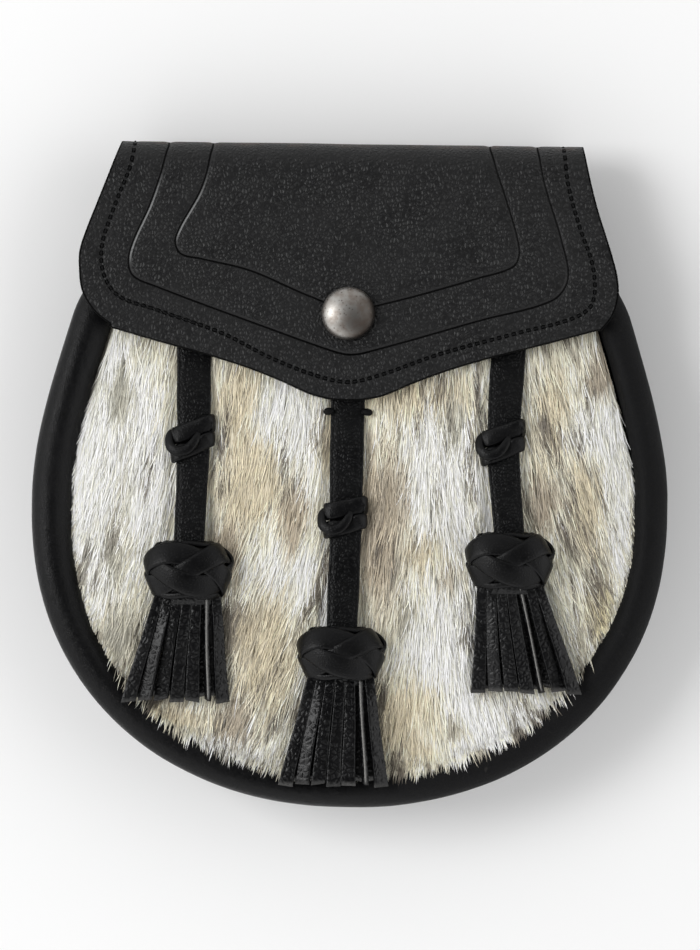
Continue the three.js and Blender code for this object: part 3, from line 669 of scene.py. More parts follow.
# Distance of any place from the outline, read from a chart of it.
CHART_REACH = 100
chart_edge, _ = outline(BACK_TOP + 10, 0, 700)
chart_x, chart_y = np.mgrid[-CHART_REACH : CHART_REACH + 1.0, -CHART_REACH : CHART_REACH + 1.0]
inside = np.abs(chart_x) <= half_width(np.clip(chart_y - BOTTOM, 0, TALL))
INSET_CHART = np.min([np.hypot(chart_x - px, chart_y - py) for px, py in chart_edge], axis=0)
INSET_CHART = INSET_CHART * np.where(inside, 1, -1)


def inset_at(x, y):
    """How far inside the outline a place lies."""
    column, row = (np.clip(side + CHART_REACH, 0, 2 * CHART_REACH - 1.01) for side in (x, y))
    return charted(INSET_CHART, column, row, False)


def rim_top(x, y):
    """Top of the rim over a place, or 0 where there is no rim."""
    aside = (inset_at(x, y) - RIM_HALF_WIDTH) / RIM_HALF_WIDTH
    over = seam(y) + RIM_RAISED + rim_half_height(y) * np.sqrt(np.clip(1 - aside * aside, 0, 1))
    return np.where(np.abs(aside) < 1, over, 0)


# The straps and their tassels, which the hair lies under. Flap edge is where the flap covers the strap.
TASSELS = {
    "left": {
        "top": (-47.1, 50), "flap_edge": 36, "keeper": (-46.8, 10.3), "turn": 0.38,
        "head": (-47.7, -28.7), "head_half": (13.2, 8.4), "end": (-51.0, -68.3), "end_half": 16.3,
    },
    "centre": {
        "top": (-0.9, 36), "flap_edge": 22, "keeper": (-1.1, -12.6), "turn": 0.21,
        "head": (-1.9, -52.9), "head_half": (13.1, 7.6), "end": (-3.8, -92.6), "end_half": 16.4,
    },
    "right": {
        "top": (47.3, 50), "flap_edge": 35, "keeper": (45.6, 10.3), "turn": 0.34,
        "head": (47.8, -24.7), "head_half": (13.1, 8.1), "end": (53.4, -64.4), "end_half": 16.5,
    },
}


def strap_x(tassel, y):
    """Middle line of a strap, which leans over to its keeper and on to its tassel."""
    top, keeper, head = tassel["top"], tassel["keeper"], tassel["head"]
    upper = keeper[0] + (top[0] - keeper[0]) * smooth(y, keeper[1], top[1])
    lower = head[0] + (keeper[0] - head[0]) * smooth(y, head[1], keeper[1])
    return np.where(y > keeper[1], upper, lower)


# The flap's fold, and the height of its inner face, which the hair under it has to clear.
FOLD_RADIUS = 6.3
FOLD_Z = 15.75
COVER_FROM = 92.0
COVER_SLOPE = 0.1119


def coat_depth(x, y):
    """How high the hair may stand over the skin: less under the flap, the straps and the tassels."""
    depth = COAT_DEEP - 1.0 * smooth(-inset_at(x, y), -20, -12) * smooth(y, -60, -20)
    flap_gap = FOLD_Z + FOLD_RADIUS + (COVER_FROM - y) * COVER_SLOPE - hide_face(x, y) - 0.7
    depth = np.where(y > 14, np.minimum(depth, np.maximum(flap_gap, 0.5)), depth)
    for tassel in TASSELS.values():
        away = np.abs(x - strap_x(tassel, y))
        on_strap = 1 - smooth(away, 5.0, 9.0)
        head_x, head_y = tassel["head"]
        end_x, end_y = tassel["end"]
        down = np.clip((head_y - y) / (head_y - end_y), 0, 1)
        skirt_half = 8 + (tassel["end_half"] - 8) * down
        on_skirt = 1 - smooth(np.abs(x - head_x - (end_x - head_x) * down), skirt_half - 1, skirt_half + 3)
        in_skirt = smooth(head_y + 9 - y, 0, 3) * smooth(y - end_y, -2, 3)
        pressed = np.maximum(on_strap * smooth(y, head_y, head_y + 8), on_skirt * in_skirt)
        depth = depth * (1 - pressed) + np.minimum(depth, PRESSED_DEEP) * pressed
    return depth


def hair_locks(count, seed):
    """Corners, colours and triangles of some of the hair. A hair is a tapering blade of five triangles."""
    luck = np.random.default_rng(seed)
    x = luck.uniform(-84, 84, 3 * count)
    y = luck.uniform(HIDE_BOTTOM, 56, 3 * count)
    kept = inset_at(x, y) > 2 * RIM_HALF_WIDTH + 0.4 + welt_reach(x, y)
    kept = kept & (y < 34 + 0.2 * np.abs(x) + luck.uniform(0, 6, 3 * count))
    x, y = x[kept][:count], y[kept][:count]
    count = len(x)

    lock_row = np.floor(y / LOCK_TALL)
    staggered = 0.5 * (lock_row % 2)
    lock_x = (np.floor(x / LOCK_WIDE + staggered) + 0.5 - staggered) * LOCK_WIDE
    lock_id = np.floor(lock_x * 7.31 + 19 * lock_row).astype(int)
    lock_luck = np.random.default_rng(99).uniform(-1, 1, (4096, 3))[lock_id % 4096]
    pulled = (lock_x - x) * luck.uniform(0.2, 0.75, count)
    angle = lean(x, y) + np.radians(5 * lock_luck[:, 0] + luck.normal(0, 2.8, count))
    length = luck.uniform(*HAIR_LENGTH, count) * (1 + 0.12 * lock_luck[:, 1])
    bend = np.radians(luck.normal(0, 5, count) + 4 * lock_luck[:, 2])
    wide = luck.uniform(*HAIR_WIDTH, count)
    roll = luck.uniform(-0.5, 0.5, count)
    height = luck.uniform(0.25, 1.0, count) ** 0.7

    at_bottom = smooth(-y, 48, 80)
    pulled = pulled * (1 - 0.6 * at_bottom)
    lapped = luck.uniform(0, 1, count) < at_bottom
    ragged = mottle(x / 2.3 + 70, y / 30 + 70, 17)
    overhang = luck.uniform(0, 1, count) * (0.4 + 2.2 * at_bottom * ragged) + 0.7 * at_bottom * ragged
    overhang = np.where(lapped, overhang, -0.1 - welt_reach(x, y))
    for _ in range(8):
        tip_x = x + pulled + length * np.sin(angle + 0.5 * bend)
        tip_y = y - length * np.cos(angle + 0.5 * bend)
        over = inset_at(tip_x, tip_y) < 2 * RIM_HALF_WIDTH - overhang
        length = np.where(over, length * 0.86, length)
    length = np.maximum(length, 2)

    blades = []
    tones = []
    shaded = luck.normal(1, 0.16, count) * (1 + 0.07 * lock_luck[:, 1])
    shaded = shaded * np.where(luck.uniform(0, 1, count) < 0.08, 0.5, 1)
    root_tone = coat_tone(x, y - 0.4 * length) * np.clip(shaded, 0.3, 1.35)[:, None]
    for share, rise, narrowing in ((0, -0.05, 1.0), (0.34, 0.8, 1.0), (0.7, 1.0, 0.8), (1.0, 0.86, 0.0)):
        turned = angle + bend * share
        px = x + pulled * share**1.3 + length * share * np.sin(turned)
        py = y - length * share * np.cos(turned)
        pz = hide_face(px, py) + coat_depth(px, py) * height * rise
        pz = np.where(lapped, np.maximum(pz, rim_top(px, py) + 0.15 + 0.35 * height), pz)
        middle = np.column_stack([px, py, pz])
        flat = np.cos(roll)
        aside = np.column_stack([np.cos(turned) * flat, np.sin(turned) * flat, np.sin(roll)])
        reach = aside * (0.5 * wide * narrowing)[:, None]
        sides = [middle - reach, middle + reach] if narrowing else [middle]
        blades += sides
        # Each hair is painted darker at its root than at its tip: painted shade where the hairs lie over
        # one another.
        tones += [np.clip(root_tone * (0.7 + 0.5 * share), 0, 0.95)] * len(sides)
    corners = np.stack(blades, axis=1).reshape(-1, 3)
    blade = np.array([(0, 1, 3), (0, 3, 2), (2, 3, 5), (2, 5, 4), (4, 5, 6)])
    triangles = (blade[None] + 7 * np.arange(count)[:, None, None]).reshape(-1, 3)
    first, second, third = (corners[triangles[:, corner]] for corner in range(3))
    turned_over = np.cross(second - first, third - first)[:, 2] < 0
    triangles[turned_over] = triangles[turned_over][:, ::-1]
    return corners, np.stack(tones, axis=1).reshape(-1, 3), triangles


hair_finish = Finish("goat_hair", {"Specular IOR Level": 0.5})
hair_tone = hair_finish.attribute("coat", "Color")
hair_fine = hair_finish.cloud(hair_finish.place(), 0.5)
hair_finish.set("Base Color", hair_finish.mixed(hair_tone, dye(250, 246, 234), hair_fine * 0.08))
hair_finish.set("Roughness", hair_finish.share(hair_fine, 0.3, 0.7, 0.38, 0.52))
for number in range(HAIR_PIECES):
    hair_corners, hair_tones, hair_triangles = hair_locks(HAIRS // HAIR_PIECES, 40 + number)
    hair = joined(f"goat_hair_{number + 1}", hair_corners, hair_triangles)
    painted(hair, hair_tones)
    finished(f"goat_hair_{number + 1}", hair, hair_finish)


# Flap: one sheet of pebble-grained black leather, 3 mm thick, that comes over from the back of the mouth.
# It has a line of stitching round its edge and two tooled lines, and comes to a point in the middle.
FLAP_THICK = 3
FOLD_Y = TALL / 2 - FOLD_RADIUS - FLAP_THICK
FRONT_SLOPE = math.atan(0.1126)
BACK_SLOPE = math.atan(BACK_RISE)
FOLD_LENGTH = FOLD_RADIUS * (math.pi - FRONT_SLOPE - BACK_SLOPE)
FLAP_BACK_LENGTH = 18
FLAP_INSIDE = 0.06
FLAP_COLUMNS, FLAP_ROWS = 210, 148
# Half width of the flap at some heights, on the left and on the right.
FLAP_SIDES = np.array([
    (143.6, 72.2, 74.4), (146.6, 76.2, 77.0), (150, 79.0, 78.6), (154, 80.9, 79.4), (159, 81.6, 79.1),
    (165, 81.6, 77.6), (171, 79.9, 75.7), (180, 76.5, 72.8), (190, 72.7, 70.3), (198.5, 69.6, 68.6),
])
# Height of its lower edge at some distances from its point.
FLAP_EDGE = np.array([
    (0, 121.6), (5, 121.9), (11, 123.3), (20, 127.2), (30, 131.0), (42, 134.7), (56, 138.4), (74, 143.4),
])
# The lines on the flap, two tooled and one sewn.
FLAP_LINES = {
    "outer": [
        (-55.2, 196), (-60.3, 180), (-66.4, 165), (-65.6, 158.4), (-58.5, 155), (-27.3, 143.8),
        (-6.3, 136.6), (-1, 135.4), (4.3, 136.1), (38.3, 146.1), (59.5, 152.3), (64, 158.6), (61.9, 170.2),
        (57.2, 185.1), (54.6, 196),
    ],
    "inner": [
        (-42, 196), (-45.4, 184), (-52.7, 169.6), (-51.4, 165), (-45.4, 163.5), (-30.5, 160.1),
        (-13, 152.8), (-1, 149), (11, 151), (38.2, 158.9), (47.8, 162.3), (49.4, 167.1), (45.3, 182),
        (40.4, 196),
    ],
    "stitch": [
        (-65.6, 196.6), (-66.3, 192), (-71.4, 178.3), (-74.8, 167), (-74.2, 158.3), (-69.7, 151.8),
        (-58.4, 147.8), (-38.3, 140.9), (-24.8, 134.2), (-11.6, 129.1), (-1, 126.9), (9.4, 129.4),
        (26.2, 135.6), (49.4, 142.2), (66.1, 146.9), (71.6, 151.4), (71.7, 162), (67.6, 174), (64.2, 186),
        (62.6, 197),
    ],
}
FLAP_PITCH = 2.25


def read(places, values, at):
    """A value from a short table, smooth between its rows."""
    slopes = np.gradient(values, places)
    slopes[1:-1] = (values[2:] - values[:-2]) / (places[2:] - places[:-2])
    at = np.clip(at, places[0], places[-1])
    row = np.clip(np.searchsorted(places, at), 1, len(places) - 1)
    span = places[row] - places[row - 1]
    share = (at - places[row - 1]) / span
    square, cube = share**2, share**3
    ends = values[row - 1] * (2 * cube - 3 * square + 1) + values[row] * (3 * square - 2 * cube)
    return ends + span * (slopes[row - 1] * (cube - 2 * square + share) + slopes[row] * (cube - square))


def on_flap(x, run, outward):
    """A place on the flap. run is the length down its front, less than 0 round the fold and on the back."""
    angle = np.minimum(FRONT_SLOPE - np.minimum(run, 0) / FOLD_RADIUS, math.pi - BACK_SLOPE)
    past = np.where(run < 0, np.minimum(run + FOLD_LENGTH, 0), run)
    reach = FOLD_RADIUS + outward
    y = FOLD_Y + reach * np.sin(angle) - np.abs(past) * np.abs(np.cos(angle))
    return np.column_stack([x, y, FOLD_Z + reach * np.cos(angle) + past * np.sin(angle)])


def run_at(height):
    y = height + BOTTOM
    return (FOLD_Y + (FOLD_RADIUS + FLAP_THICK) * math.sin(FRONT_SLOPE) - y) / math.cos(FRONT_SLOPE)


def flap_line(table):
    """A line drawn on the flap in even steps, carried straight over the fold and along the back."""
    route = np.array([(x, run_at(height)) for x, height in table])
    passed = lengths_along(route)
    even = np.linspace(0, passed[-1], 500)
    front = np.column_stack([read(passed, route[:, axis], even) for axis in (0, 1)])
    behind = -FOLD_LENGTH - FLAP_BACK_LENGTH
    back = np.linspace(behind, min(front[0, 1], front[-1, 1]) - 1, 40)
    start = np.column_stack([np.full(40, front[0, 0]), back])
    end = np.column_stack([np.full(40, front[-1, 0]), back[::-1]])
    return np.vstack([start, front, end])


def beside(line, places):
    """Signed distance of each place from a line, and the length along the line to its nearest point."""
    start, step = line[:-1], np.diff(line, axis=0)
    lengths = lengths_along(line)
    found = []
    for some in np.array_split(places, max(1, len(places) // 2000)):
        offset = some[:, None] - start[None]
        share = np.clip((offset * step).sum(-1) / (step**2).sum(-1), 0, 1)
        foot = start + share[..., None] * step
        gap = np.hypot(*np.moveaxis(some[:, None] - foot, -1, 0))
        near = np.argmin(gap, axis=1)
        each = np.arange(len(some))
        turn = step[near, 0] * offset[each, near, 1] - step[near, 1] * offset[each, near, 0]
        along = lengths[near] + share[each, near] * (lengths[near + 1] - lengths[near])
        found.append(np.column_stack([np.sign(turn) * gap[each, near], along]))
    return np.vstack(found)


def flap_spread(across, along):
    """Where each corner of the flap's grid lies on the leather: x, and the run."""
    side = 2 * across - 1
    back, fold = 0.13, 0.19
    down = 1 - (1 - np.clip((along - back - fold) / (1 - back - fold), 0, 1)) ** 1.15
    corner = np.where(side < 0, FLAP_SIDES[0, 1], FLAP_SIDES[0, 2])
    lower = read(FLAP_EDGE[:, 0], FLAP_EDGE[:, 1], np.abs(side * corner + 1))
    over = -FOLD_LENGTH * (1 - np.clip((along - back) / fold, 0, 1))
    behind = -FLAP_BACK_LENGTH * (1 - np.clip(along / back, 0, 1))
    run = down * run_at(lower) + over + behind
    height = np.where(run > -FOLD_LENGTH / 2, on_flap(side, run, FLAP_THICK)[:, 1] - BOTTOM, TALL)
    left, right = (read(FLAP_SIDES[:, 0], FLAP_SIDES[:, column], height) for column in (1, 2))
    return np.column_stack([side * np.where(side < 0, left, right), run])


flap_lines = {name: flap_line(table) for name, table in FLAP_LINES.items()}
flap_marks = {}


def flap_place(across, along):
    spread = flap_spread(across, along)
    sunk = 0
    for name, line in flap_lines.items():
        flap_marks[name] = beside(line, spread)
        sunk = sunk + (0.12 if name == "stitch" else 0.28) * np.exp(-flap_marks[name][:, 0] ** 2)
    swell = 0.16 * (mottle(*(spread.T / 13 + 60), 21) - 0.5)
    return on_flap(*spread.T, FLAP_THICK - FLAP_INSIDE - sunk + swell)


def tooled(finish, shift, far, near, most):
    """How near a place is to the two tooled lines, each shifted aside, from 0 to most."""
    lines = [finish.attribute(f"{name}_line") + shift for name in ("outer", "inner")]
    outer, inner = (finish.share(line * line, far, near, 0.0, most) for line in lines)
    return outer + inner


def flap_pressed(finish):
    """Where the grain is flattened: in the tooled lines, in the stitches' channel and at their holes. It
    also mixes in painted shade and a painted shadow at the edge.
    """
    marks = []
    for name in ("outer", "inner"):
        away = abs(finish.attribute(f"{name}_line"))
        marks.append(finish.node("ShaderNodeMapRange", {}, {0: away, 1: 0.66, 2: 0.05, 3: 0.0, 4: 1.0}))
    from_stitch = finish.attribute("stitch_line")
    channel = finish.share(from_stitch * from_stitch, 0.42, 0.1)
    hole = finish.share(finish.attribute("stitch_hole"), 0.2, 0.6) * channel
    # Painted shade: a dull black line along the outer side of each tooled groove, and in the needle holes.
    groove_shade = tooled(finish, -0.24, 0.15, 0.01, 0.85)
    # A painted shadow: a dull black band along the flap's outer edge, standing for the shadow under it.
    edge = finish.share(finish.attribute("outer_edge"), 0.05, 0.4)
    finish.shadowed(groove_shade.larger(hole * 0.95).larger(edge * 0.9))
    return (marks[0] + marks[1]).larger(channel * 0.12 + hole)


def flap_finish():
    """Grained leather, browned where the fold wears it, with a painted grey highlight beside the left-hand
    tooled lines.
    """
    finish = leather("flap_leather", dye(11, 12, 12), dye(3, 3, 4), 0.48, 1.25, 0.17, flap_pressed, 0.34)
    worn = finish.share(finish.cloud(finish.place(), 9), 0.42, 0.62)
    worn = worn * finish.share(finish.place_along("Y"), 97.4 * MM, 99.1 * MM, 0.0, 0.6)
    black = finish.mixed(finish.tone(), dye(66, 48, 38), worn)
    # Painted highlight: grey beside the tooled lines, on the groove wall that faces the lamp on the left.
    rubbed = tooled(finish, 0.34, 0.1, 0.02, 1.0) * finish.attribute("rubbed") * 0.9
    finish.set("Base Color", finish.mixed(black, dye(118, 119, 119), rubbed))
    return finish


flap_sheet = draped(FLAP_COLUMNS, FLAP_ROWS, flap_place)
laid_face_up(flap_sheet)
flap_x, flap_height = np.array([(vert.co.x, vert.co.y - BOTTOM) for vert in flap_sheet.verts]).T
# Where the painted highlight beside the tooled lines shows: on the left-hand lines, over part of their
# height.
highlight_low = smooth(flap_height - np.where(flap_x < -56, 161, 167.5), 0, 4)
highlight_high = smooth(-flap_height, -191, -178)
flap_values = {
    "outer_edge": [float(vert.is_boundary) for vert in flap_sheet.verts],
    "rubbed": smooth(-flap_x, 30, 36) * highlight_low * highlight_high,
    "stitch_hole": 0.5 - 0.5 * np.cos(2 * math.pi * flap_marks["stitch"][:, 1] / FLAP_PITCH),
}
flap_values |= {f"{name}_line": found[:, 0] for name, found in flap_marks.items()}
flap = made("flap_grained", flap_sheet, flap_finish(), "grained_leather", ["flap"])
for name, values in flap_values.items():
    flap.data.attributes.new(name, "FLOAT", "POINT").data.foreach_set("value", values)
edge_dye = Finish("flap_edge_dye", {"Specular IOR Level": 0.08, "Roughness": 0.8})
edge_patches = edge_dye.cloud(edge_dye.place(), 0.8, 3.0)
edge_dye.set("Base Color", edge_dye.mixed(dye(3, 3, 4), dye(12, 12, 12), edge_patches))
flap.data.materials.append(edge_dye.material)
wall = flap.modifiers.new("thickness", "SOLIDIFY")
wall.material_offset_rim = 1
wall.thickness = (FLAP_THICK - FLAP_INSIDE) * MM
wall.offset = -1
edge_round = flap.modifiers.new("edges", "BEVEL")
edge_round.width = 0.5 * MM
edge_round.segments = 2
edge_round.limit_method = "ANGLE"
edge_round.angle_limit = math.radians(55)

stitch_line = flap_lines["stitch"]
stitch_at = np.arange(0.5 * FLAP_PITCH, lengths_along(stitch_line)[-1], FLAP_PITCH)
stitch_tips = [on_line(stitch_line, stitch_at + step).T for step in (-0.4, 0.4)]
stitch_from, stitch_to = (on_flap(*tip, FLAP_THICK - 0.2) for tip in stitch_tips)
over_from, over_to = (on_flap(*tip, FLAP_THICK + 1.0) for tip in stitch_tips)
stitch_middle, over_middle = 0.5 * (stitch_from + stitch_to), 0.5 * (over_from + over_to)
sewn(
    "flap_stitches", stitch_middle, stitch_to - stitch_from, over_middle - stitch_middle,
    length=1.35, thick=0.7,
)


# Stud: a domed cap of cast pewter that closes the flap, on a post through the leather.
# The dome has a small rolled edge, and its metal is dulled; its lower right side is painted darker brown,
# as shade.
STUD_X = -1.1
STUD_Y = 48
STUD_RADIUS = 8
STUD_HIGH = 5
STUD_LIP = 1.0
POST_RADIUS = 2
POST_DISC_RADIUS = 5.5


def turned_piece(profile, over, steps):
    """A profile of radius and rise, spun round the stud's axis and set on the flap."""
    piece = bmesh.new()
    points = [piece.verts.new((radius, 0, rise)) for radius, rise in profile]
    edges = [piece.edges.new(pair) for pair in zip(points, points[1:])]
    bmesh.ops.spin(
        piece, geom=points + edges, cent=(0, 0, 0), axis=(0, 0, 1), dvec=(0, 0, 0),
        angle=2 * math.pi, steps=steps, use_merge=True, use_duplicate=False,
    )
    bmesh.ops.remove_doubles(piece, verts=piece.verts, dist=0.001)
    bmesh.ops.recalc_face_normals(piece, faces=piece.faces)
    place = on_flap(np.array([STUD_X]), np.array([run_at(STUD_Y - BOTTOM)]), FLAP_THICK + over)[0]
    set_down = Matrix.Translation(Vector(place)) @ Matrix.Rotation(-FRONT_SLOPE, 4, "X")
    bmesh.ops.transform(piece, matrix=set_down, verts=piece.verts)
    return piece


def pewter():
    finish = Finish("dull_pewter", {"Metallic": 0.95, "Specular IOR Level": 0.5})
    place = finish.place()
    tarnish = finish.cloud(finish.wandered(place, 4, 1.5), 3.2, 4.0)
    pits = finish.share(finish.cells(place, 1.1), 0.0, 0.35)
    base = finish.mixed(dye(128, 119, 112), dye(166, 164, 160), finish.share(tarnish, 0.3, 0.7))
    # Painted shade: the metal is darkened to brown towards the lower right, away from the lamp.
    slanted = finish.place_along("X") - finish.place_along("Y") * 0.45
    lower_right_shade = finish.share(slanted + tarnish * 3 * MM, -24 * MM, -14 * MM, 0.0, 0.9)
    base = finish.mixed(base, dye(40, 33, 28), lower_right_shade)
    finish.set("Base Color", finish.mixed(dye(90, 82, 76), base, pits))
    finish.set("Roughness", finish.share(tarnish, 0.3, 0.7, 0.46, 0.38))
    finish.relief(pits * 0.4 + finish.cloud(place, 0.6, 4.0) * 0.5 + tarnish * 0.3, 0.035)
    return finish


pewter_finish = pewter()
cap_profile = [(0, 0), (STUD_RADIUS - 0.9, 0), (STUD_RADIUS - 0.35, 0.12), (STUD_RADIUS, 0.55)]
cap_profile += [(STUD_RADIUS - 0.12, STUD_LIP)]
cap_profile += [
    (STUD_RADIUS * 0.99 * math.cos(angle), STUD_LIP + (STUD_HIGH - STUD_LIP) * math.sin(angle))
    for angle in np.linspace(0.12, math.pi / 2 - 0.08, 15)
]
cap_profile += [(0, STUD_HIGH)]
made("stud_cap_pewter", turned_piece(cap_profile, GAP, 64), pewter_finish, "pewter", ["stud_cap"])
post_foot = -FLAP_THICK - GAP - 1
disc = [(0, 0), (POST_DISC_RADIUS - 0.2, 0), (POST_DISC_RADIUS, 0.2), (POST_DISC_RADIUS, 0.8)]
disc += [(POST_DISC_RADIUS - 0.2, 1), (POST_RADIUS, 1.1)]
post_profile = [(radius, post_foot + rise) for radius, rise in disc] + [(POST_RADIUS, 0), (0, 0)]
made("stud_post_pewter", turned_piece(post_profile, 0, 32), pewter_finish, "pewter", ["stud_post"])


# Straps: three leather straps, 2 mm thick and about 10 mm wide, that come out under the flap.
# They carry the tassels. The centre one comes through a slit; at its two ends sit dark ovals of thread,
# which also stand for the shade in the slit's ends.
STRAP_THICK = 2
STRAP_HALF_WIDTH = 5.2
STRAP_LIFT = 2.2
HEAD_BACK_WALL = 3.4
HOLE_HALF_HEIGHT = 2.6
HOLE_HALF_WIDTH = 8.4


def head_hole_floor(tassel):
    return float(hide_face(*np.array(tassel["head"]))) + GAP + HEAD_BACK_WALL


def strap_underside(tassel, y):
    clear = 1 - smooth(y, tassel["flap_edge"] - 16, tassel["flap_edge"] - 2)
    into_head = smooth(tassel["head"][1] + 24 - y, 0, 16)
    on_hide = hide_face(strap_x(tassel, y), y) + GAP + 0.1 + (STRAP_LIFT - GAP - 0.1) * clear
    return on_hide + (head_hole_floor(tassel) + 2.2 * GAP - on_hide) * into_head


def squared(around, power):
    """A point on a rounded square of half width 1, at a share of the way round it."""
    angle = 2 * math.pi * (around % 1)
    cos, sin = np.cos(angle), np.sin(angle)
    return np.sign(cos) * np.abs(cos) ** (2 / power), np.sign(sin) * np.abs(sin) ** (2 / power)


def strap_place(tassel):
    end, top = tassel["head"][1] + 1, tassel["top"][1]

    def place(around, along):
        y = end + (top - end) * along
        narrowed = 0.6 * (1 - smooth(y, end, top))
        half = STRAP_HALF_WIDTH - narrowed + 0.12 * ripple(along * 9 + tassel["head"][0], 31)
        across, up = squared(around, 6)
        creased = 0.12 * np.exp(-(((np.abs(across) - 0.8) / 0.07) ** 2))
        bow = (0.2 * (1 - across**2) - creased) * (up > 0)
        z = strap_underside(tassel, y) + STRAP_THICK * (0.5 + 0.5 * up) + bow
        return np.column_stack([strap_x(tassel, y) + across * half, y, z])

    return place


strap_leather = leather("strap_leather", dye(13, 14, 14), dye(4, 4, 5), 0.38, 1.0, 0.1, gloss=0.16)
for name, tassel in TASSELS.items():
    strap = rolled(40, 90, strap_place(tassel))
    made(f"strap_{name}_leather", strap, strap_leather, "strap_leather", [f"strap_{name}"])

# Two dark thread tacks at the slit's ends, which also stand in for the shade inside them.
slit_places = np.array([(-6.6, 18.9), (4.9, 18.8)])
slit_places = np.column_stack([slit_places, hide_face(*slit_places.T) + 3.2])
slit_ways = np.array([(1, 0.16, 0.1), (1, -0.16, -0.1)])
sewn("strap_slit_ends", slit_places, slit_ways, (0, 0, 1), length=3.4, thick=2.3)


# Keepers: a flat black lace is wound twice round each strap, and its end is tucked into a knot on the left.
# It is drawn tight on the strap, so its turns lean and show lumps.
def laced(path, outward, half_wide, half_thick, closed, sides=14):
    """A flat lace with rounded edges that follows a path, with its face turned outward."""
    count = len(path)
    step = np.roll(path, -1, axis=0) - np.roll(path, 1, axis=0) if closed else np.gradient(path, axis=0)
    along = unit(step)
    aside = unit(np.cross(outward, along))
    facing = np.cross(along, aside)
    rows = count if closed else count - 1

    def place(around, share):
        step = np.rint(share * rows).astype(int) % count
        across, up = squared(around, 2.8)
        wide = np.broadcast_to(half_wide, count)[step] * across
        thick = np.broadcast_to(half_thick, count)[step] * up
        return path[step] + aside[step] * wide[:, None] + facing[step] * thick[:, None]

    return rolled(sides, rows, place)


def gathered(meshes):
    """Several meshes as one."""
    whole = bmesh.new()
    for mesh in meshes:
        part = bpy.data.meshes.new("part")
        mesh.to_mesh(part)
        mesh.free()
        whole.from_mesh(part)
        bpy.data.meshes.remove(part)
    return whole


def lace_ring(tassel, over_keeper, turn, half_wide, reach):
    """One turn of the lace round the strap."""
    keeper_x, keeper_y = tassel["keeper"]
    around = np.linspace(0, 1, 72, endpoint=False)
    across, up = squared(around, 4)
    lump = ripple(np.abs(2 * around - 1) * math.pi * 2.2 + over_keeper, 17)
    thick = np.where(up > 0, 0.85, 0.5) * (1 + 0.2 * lump)
    x = keeper_x + across * (STRAP_HALF_WIDTH + GAP + reach)
    y = keeper_y + over_keeper + turn * (x - keeper_x) + 0.35 * lump
    middle = hide_face(strap_x(tassel, y), y) + STRAP_LIFT + STRAP_THICK / 2
    z = middle + up * (STRAP_THICK / 2 + 0.35 + thick)
    outward = np.column_stack([across, 0 * across, 0.8 * up])
    return laced(np.column_stack([x, y, z]), outward, half_wide * (1 + 0.1 * lump), thick, True)


def lace_knot(tassel):
    """The tucked end: a short roll round the left edge, over the front and back under itself."""
    keeper_x, keeper_y = tassel["keeper"]
    level = float(hide_face(np.array(keeper_x), np.array(keeper_y))) + STRAP_LIFT + STRAP_THICK + 1.9
    route = np.array([
        (-6.4, 2.4, -2.8), (-7.2, 0.4, -1.7), (-6.8, -2.4, -0.3), (-4.6, -3.9, 0.5), (-2.2, -3.5, 0.75),
        (-0.4, -2.0, 0.7), (0.9, 0.0, 0.3), (1.6, 1.8, -0.6),
    ])
    share = np.linspace(0, 1, len(route))
    fine = np.linspace(0, 1, 44)
    path = np.column_stack([read(share, route[:, axis], fine) for axis in range(3)])
    path = path + (keeper_x, keeper_y, level)
    outward = np.column_stack([-0.5 * (1 - fine), 0 * fine, np.ones(44)])
    taper = 1.6 * np.sqrt(np.clip(np.sin(math.pi * (0.06 + 0.88 * fine)), 0.05, 1))
    return laced(path, outward, taper, 0.62 * taper, False, 12)


lace_leather = leather("lace_leather", dye(9, 9, 10), dye(3, 3, 4), 0.38, 0.8, 0.04, gloss=0.18)
for name, tassel in TASSELS.items():
    turns = [
        lace_ring(tassel, 2.7, tassel["turn"] - 0.04, 2.7, 0.45),
        lace_ring(tassel, -2.5, tassel["turn"] + 0.08, 2.4, 0.3),
        lace_knot(tassel),
    ]
    made(f"keeper_{name}_lace", gathered(turns), lace_leather, "lace_leather", [f"keeper_{name}"])


# Tassel heads: a flat leather lace is plaited three strands deep round the end of each strap.
# The bands cross over and under on a full, barrel-shaped core, and a roll closes each end.
BIGHTS = 4
BARREL = np.array([(-1, 0.7), (-0.6, 0.85), (-0.1, 0.97), (0.2, 1.0), (0.6, 0.86), (1, 0.5)])


def barrel(tassel, angle, share):
    """A place on the barrel and its outward direction. share is -1 at the bottom and 1 at the top."""
    head_x, head_y = tassel["head"]
    half_wide, half_tall = tassel["head_half"]
    middle = head_hole_floor(tassel) + HOLE_HALF_HEIGHT
    full, lower, upper = (read(BARREL[:, 0], BARREL[:, 1], share + step) for step in (0, -0.06, 0.06))
    cos, sin = np.cos(angle), np.sin(angle)
    deep = np.where(sin < 0, HOLE_HALF_HEIGHT + HEAD_BACK_WALL - 1.3, HOLE_HALF_HEIGHT + 3.2)
    wide = half_wide - 1.5
    x, z = head_x + wide * full * cos, middle + deep * full * sin
    outward = np.column_stack([cos / wide, 0 * cos - (upper - lower) / 0.12 / half_tall, sin / deep])
    return np.column_stack([x, head_y + half_tall * share, z]), unit(outward)


def plaited_band(tassel):
    turn = np.linspace(0, 2 * math.pi, 420, endpoint=False)
    angle = 3 * turn + 0.4
    share = 0.56 * np.cos(BIGHTS * turn)
    place, outward = barrel(tassel, angle, share)
    lift = 0.62 + 0.5 * np.sin(2 * BIGHTS * turn)
    place = place + outward * lift[:, None]
    return laced(place, outward, 3.3 + 0.3 * np.cos(2 * BIGHTS * turn), 0.72, True, 14)


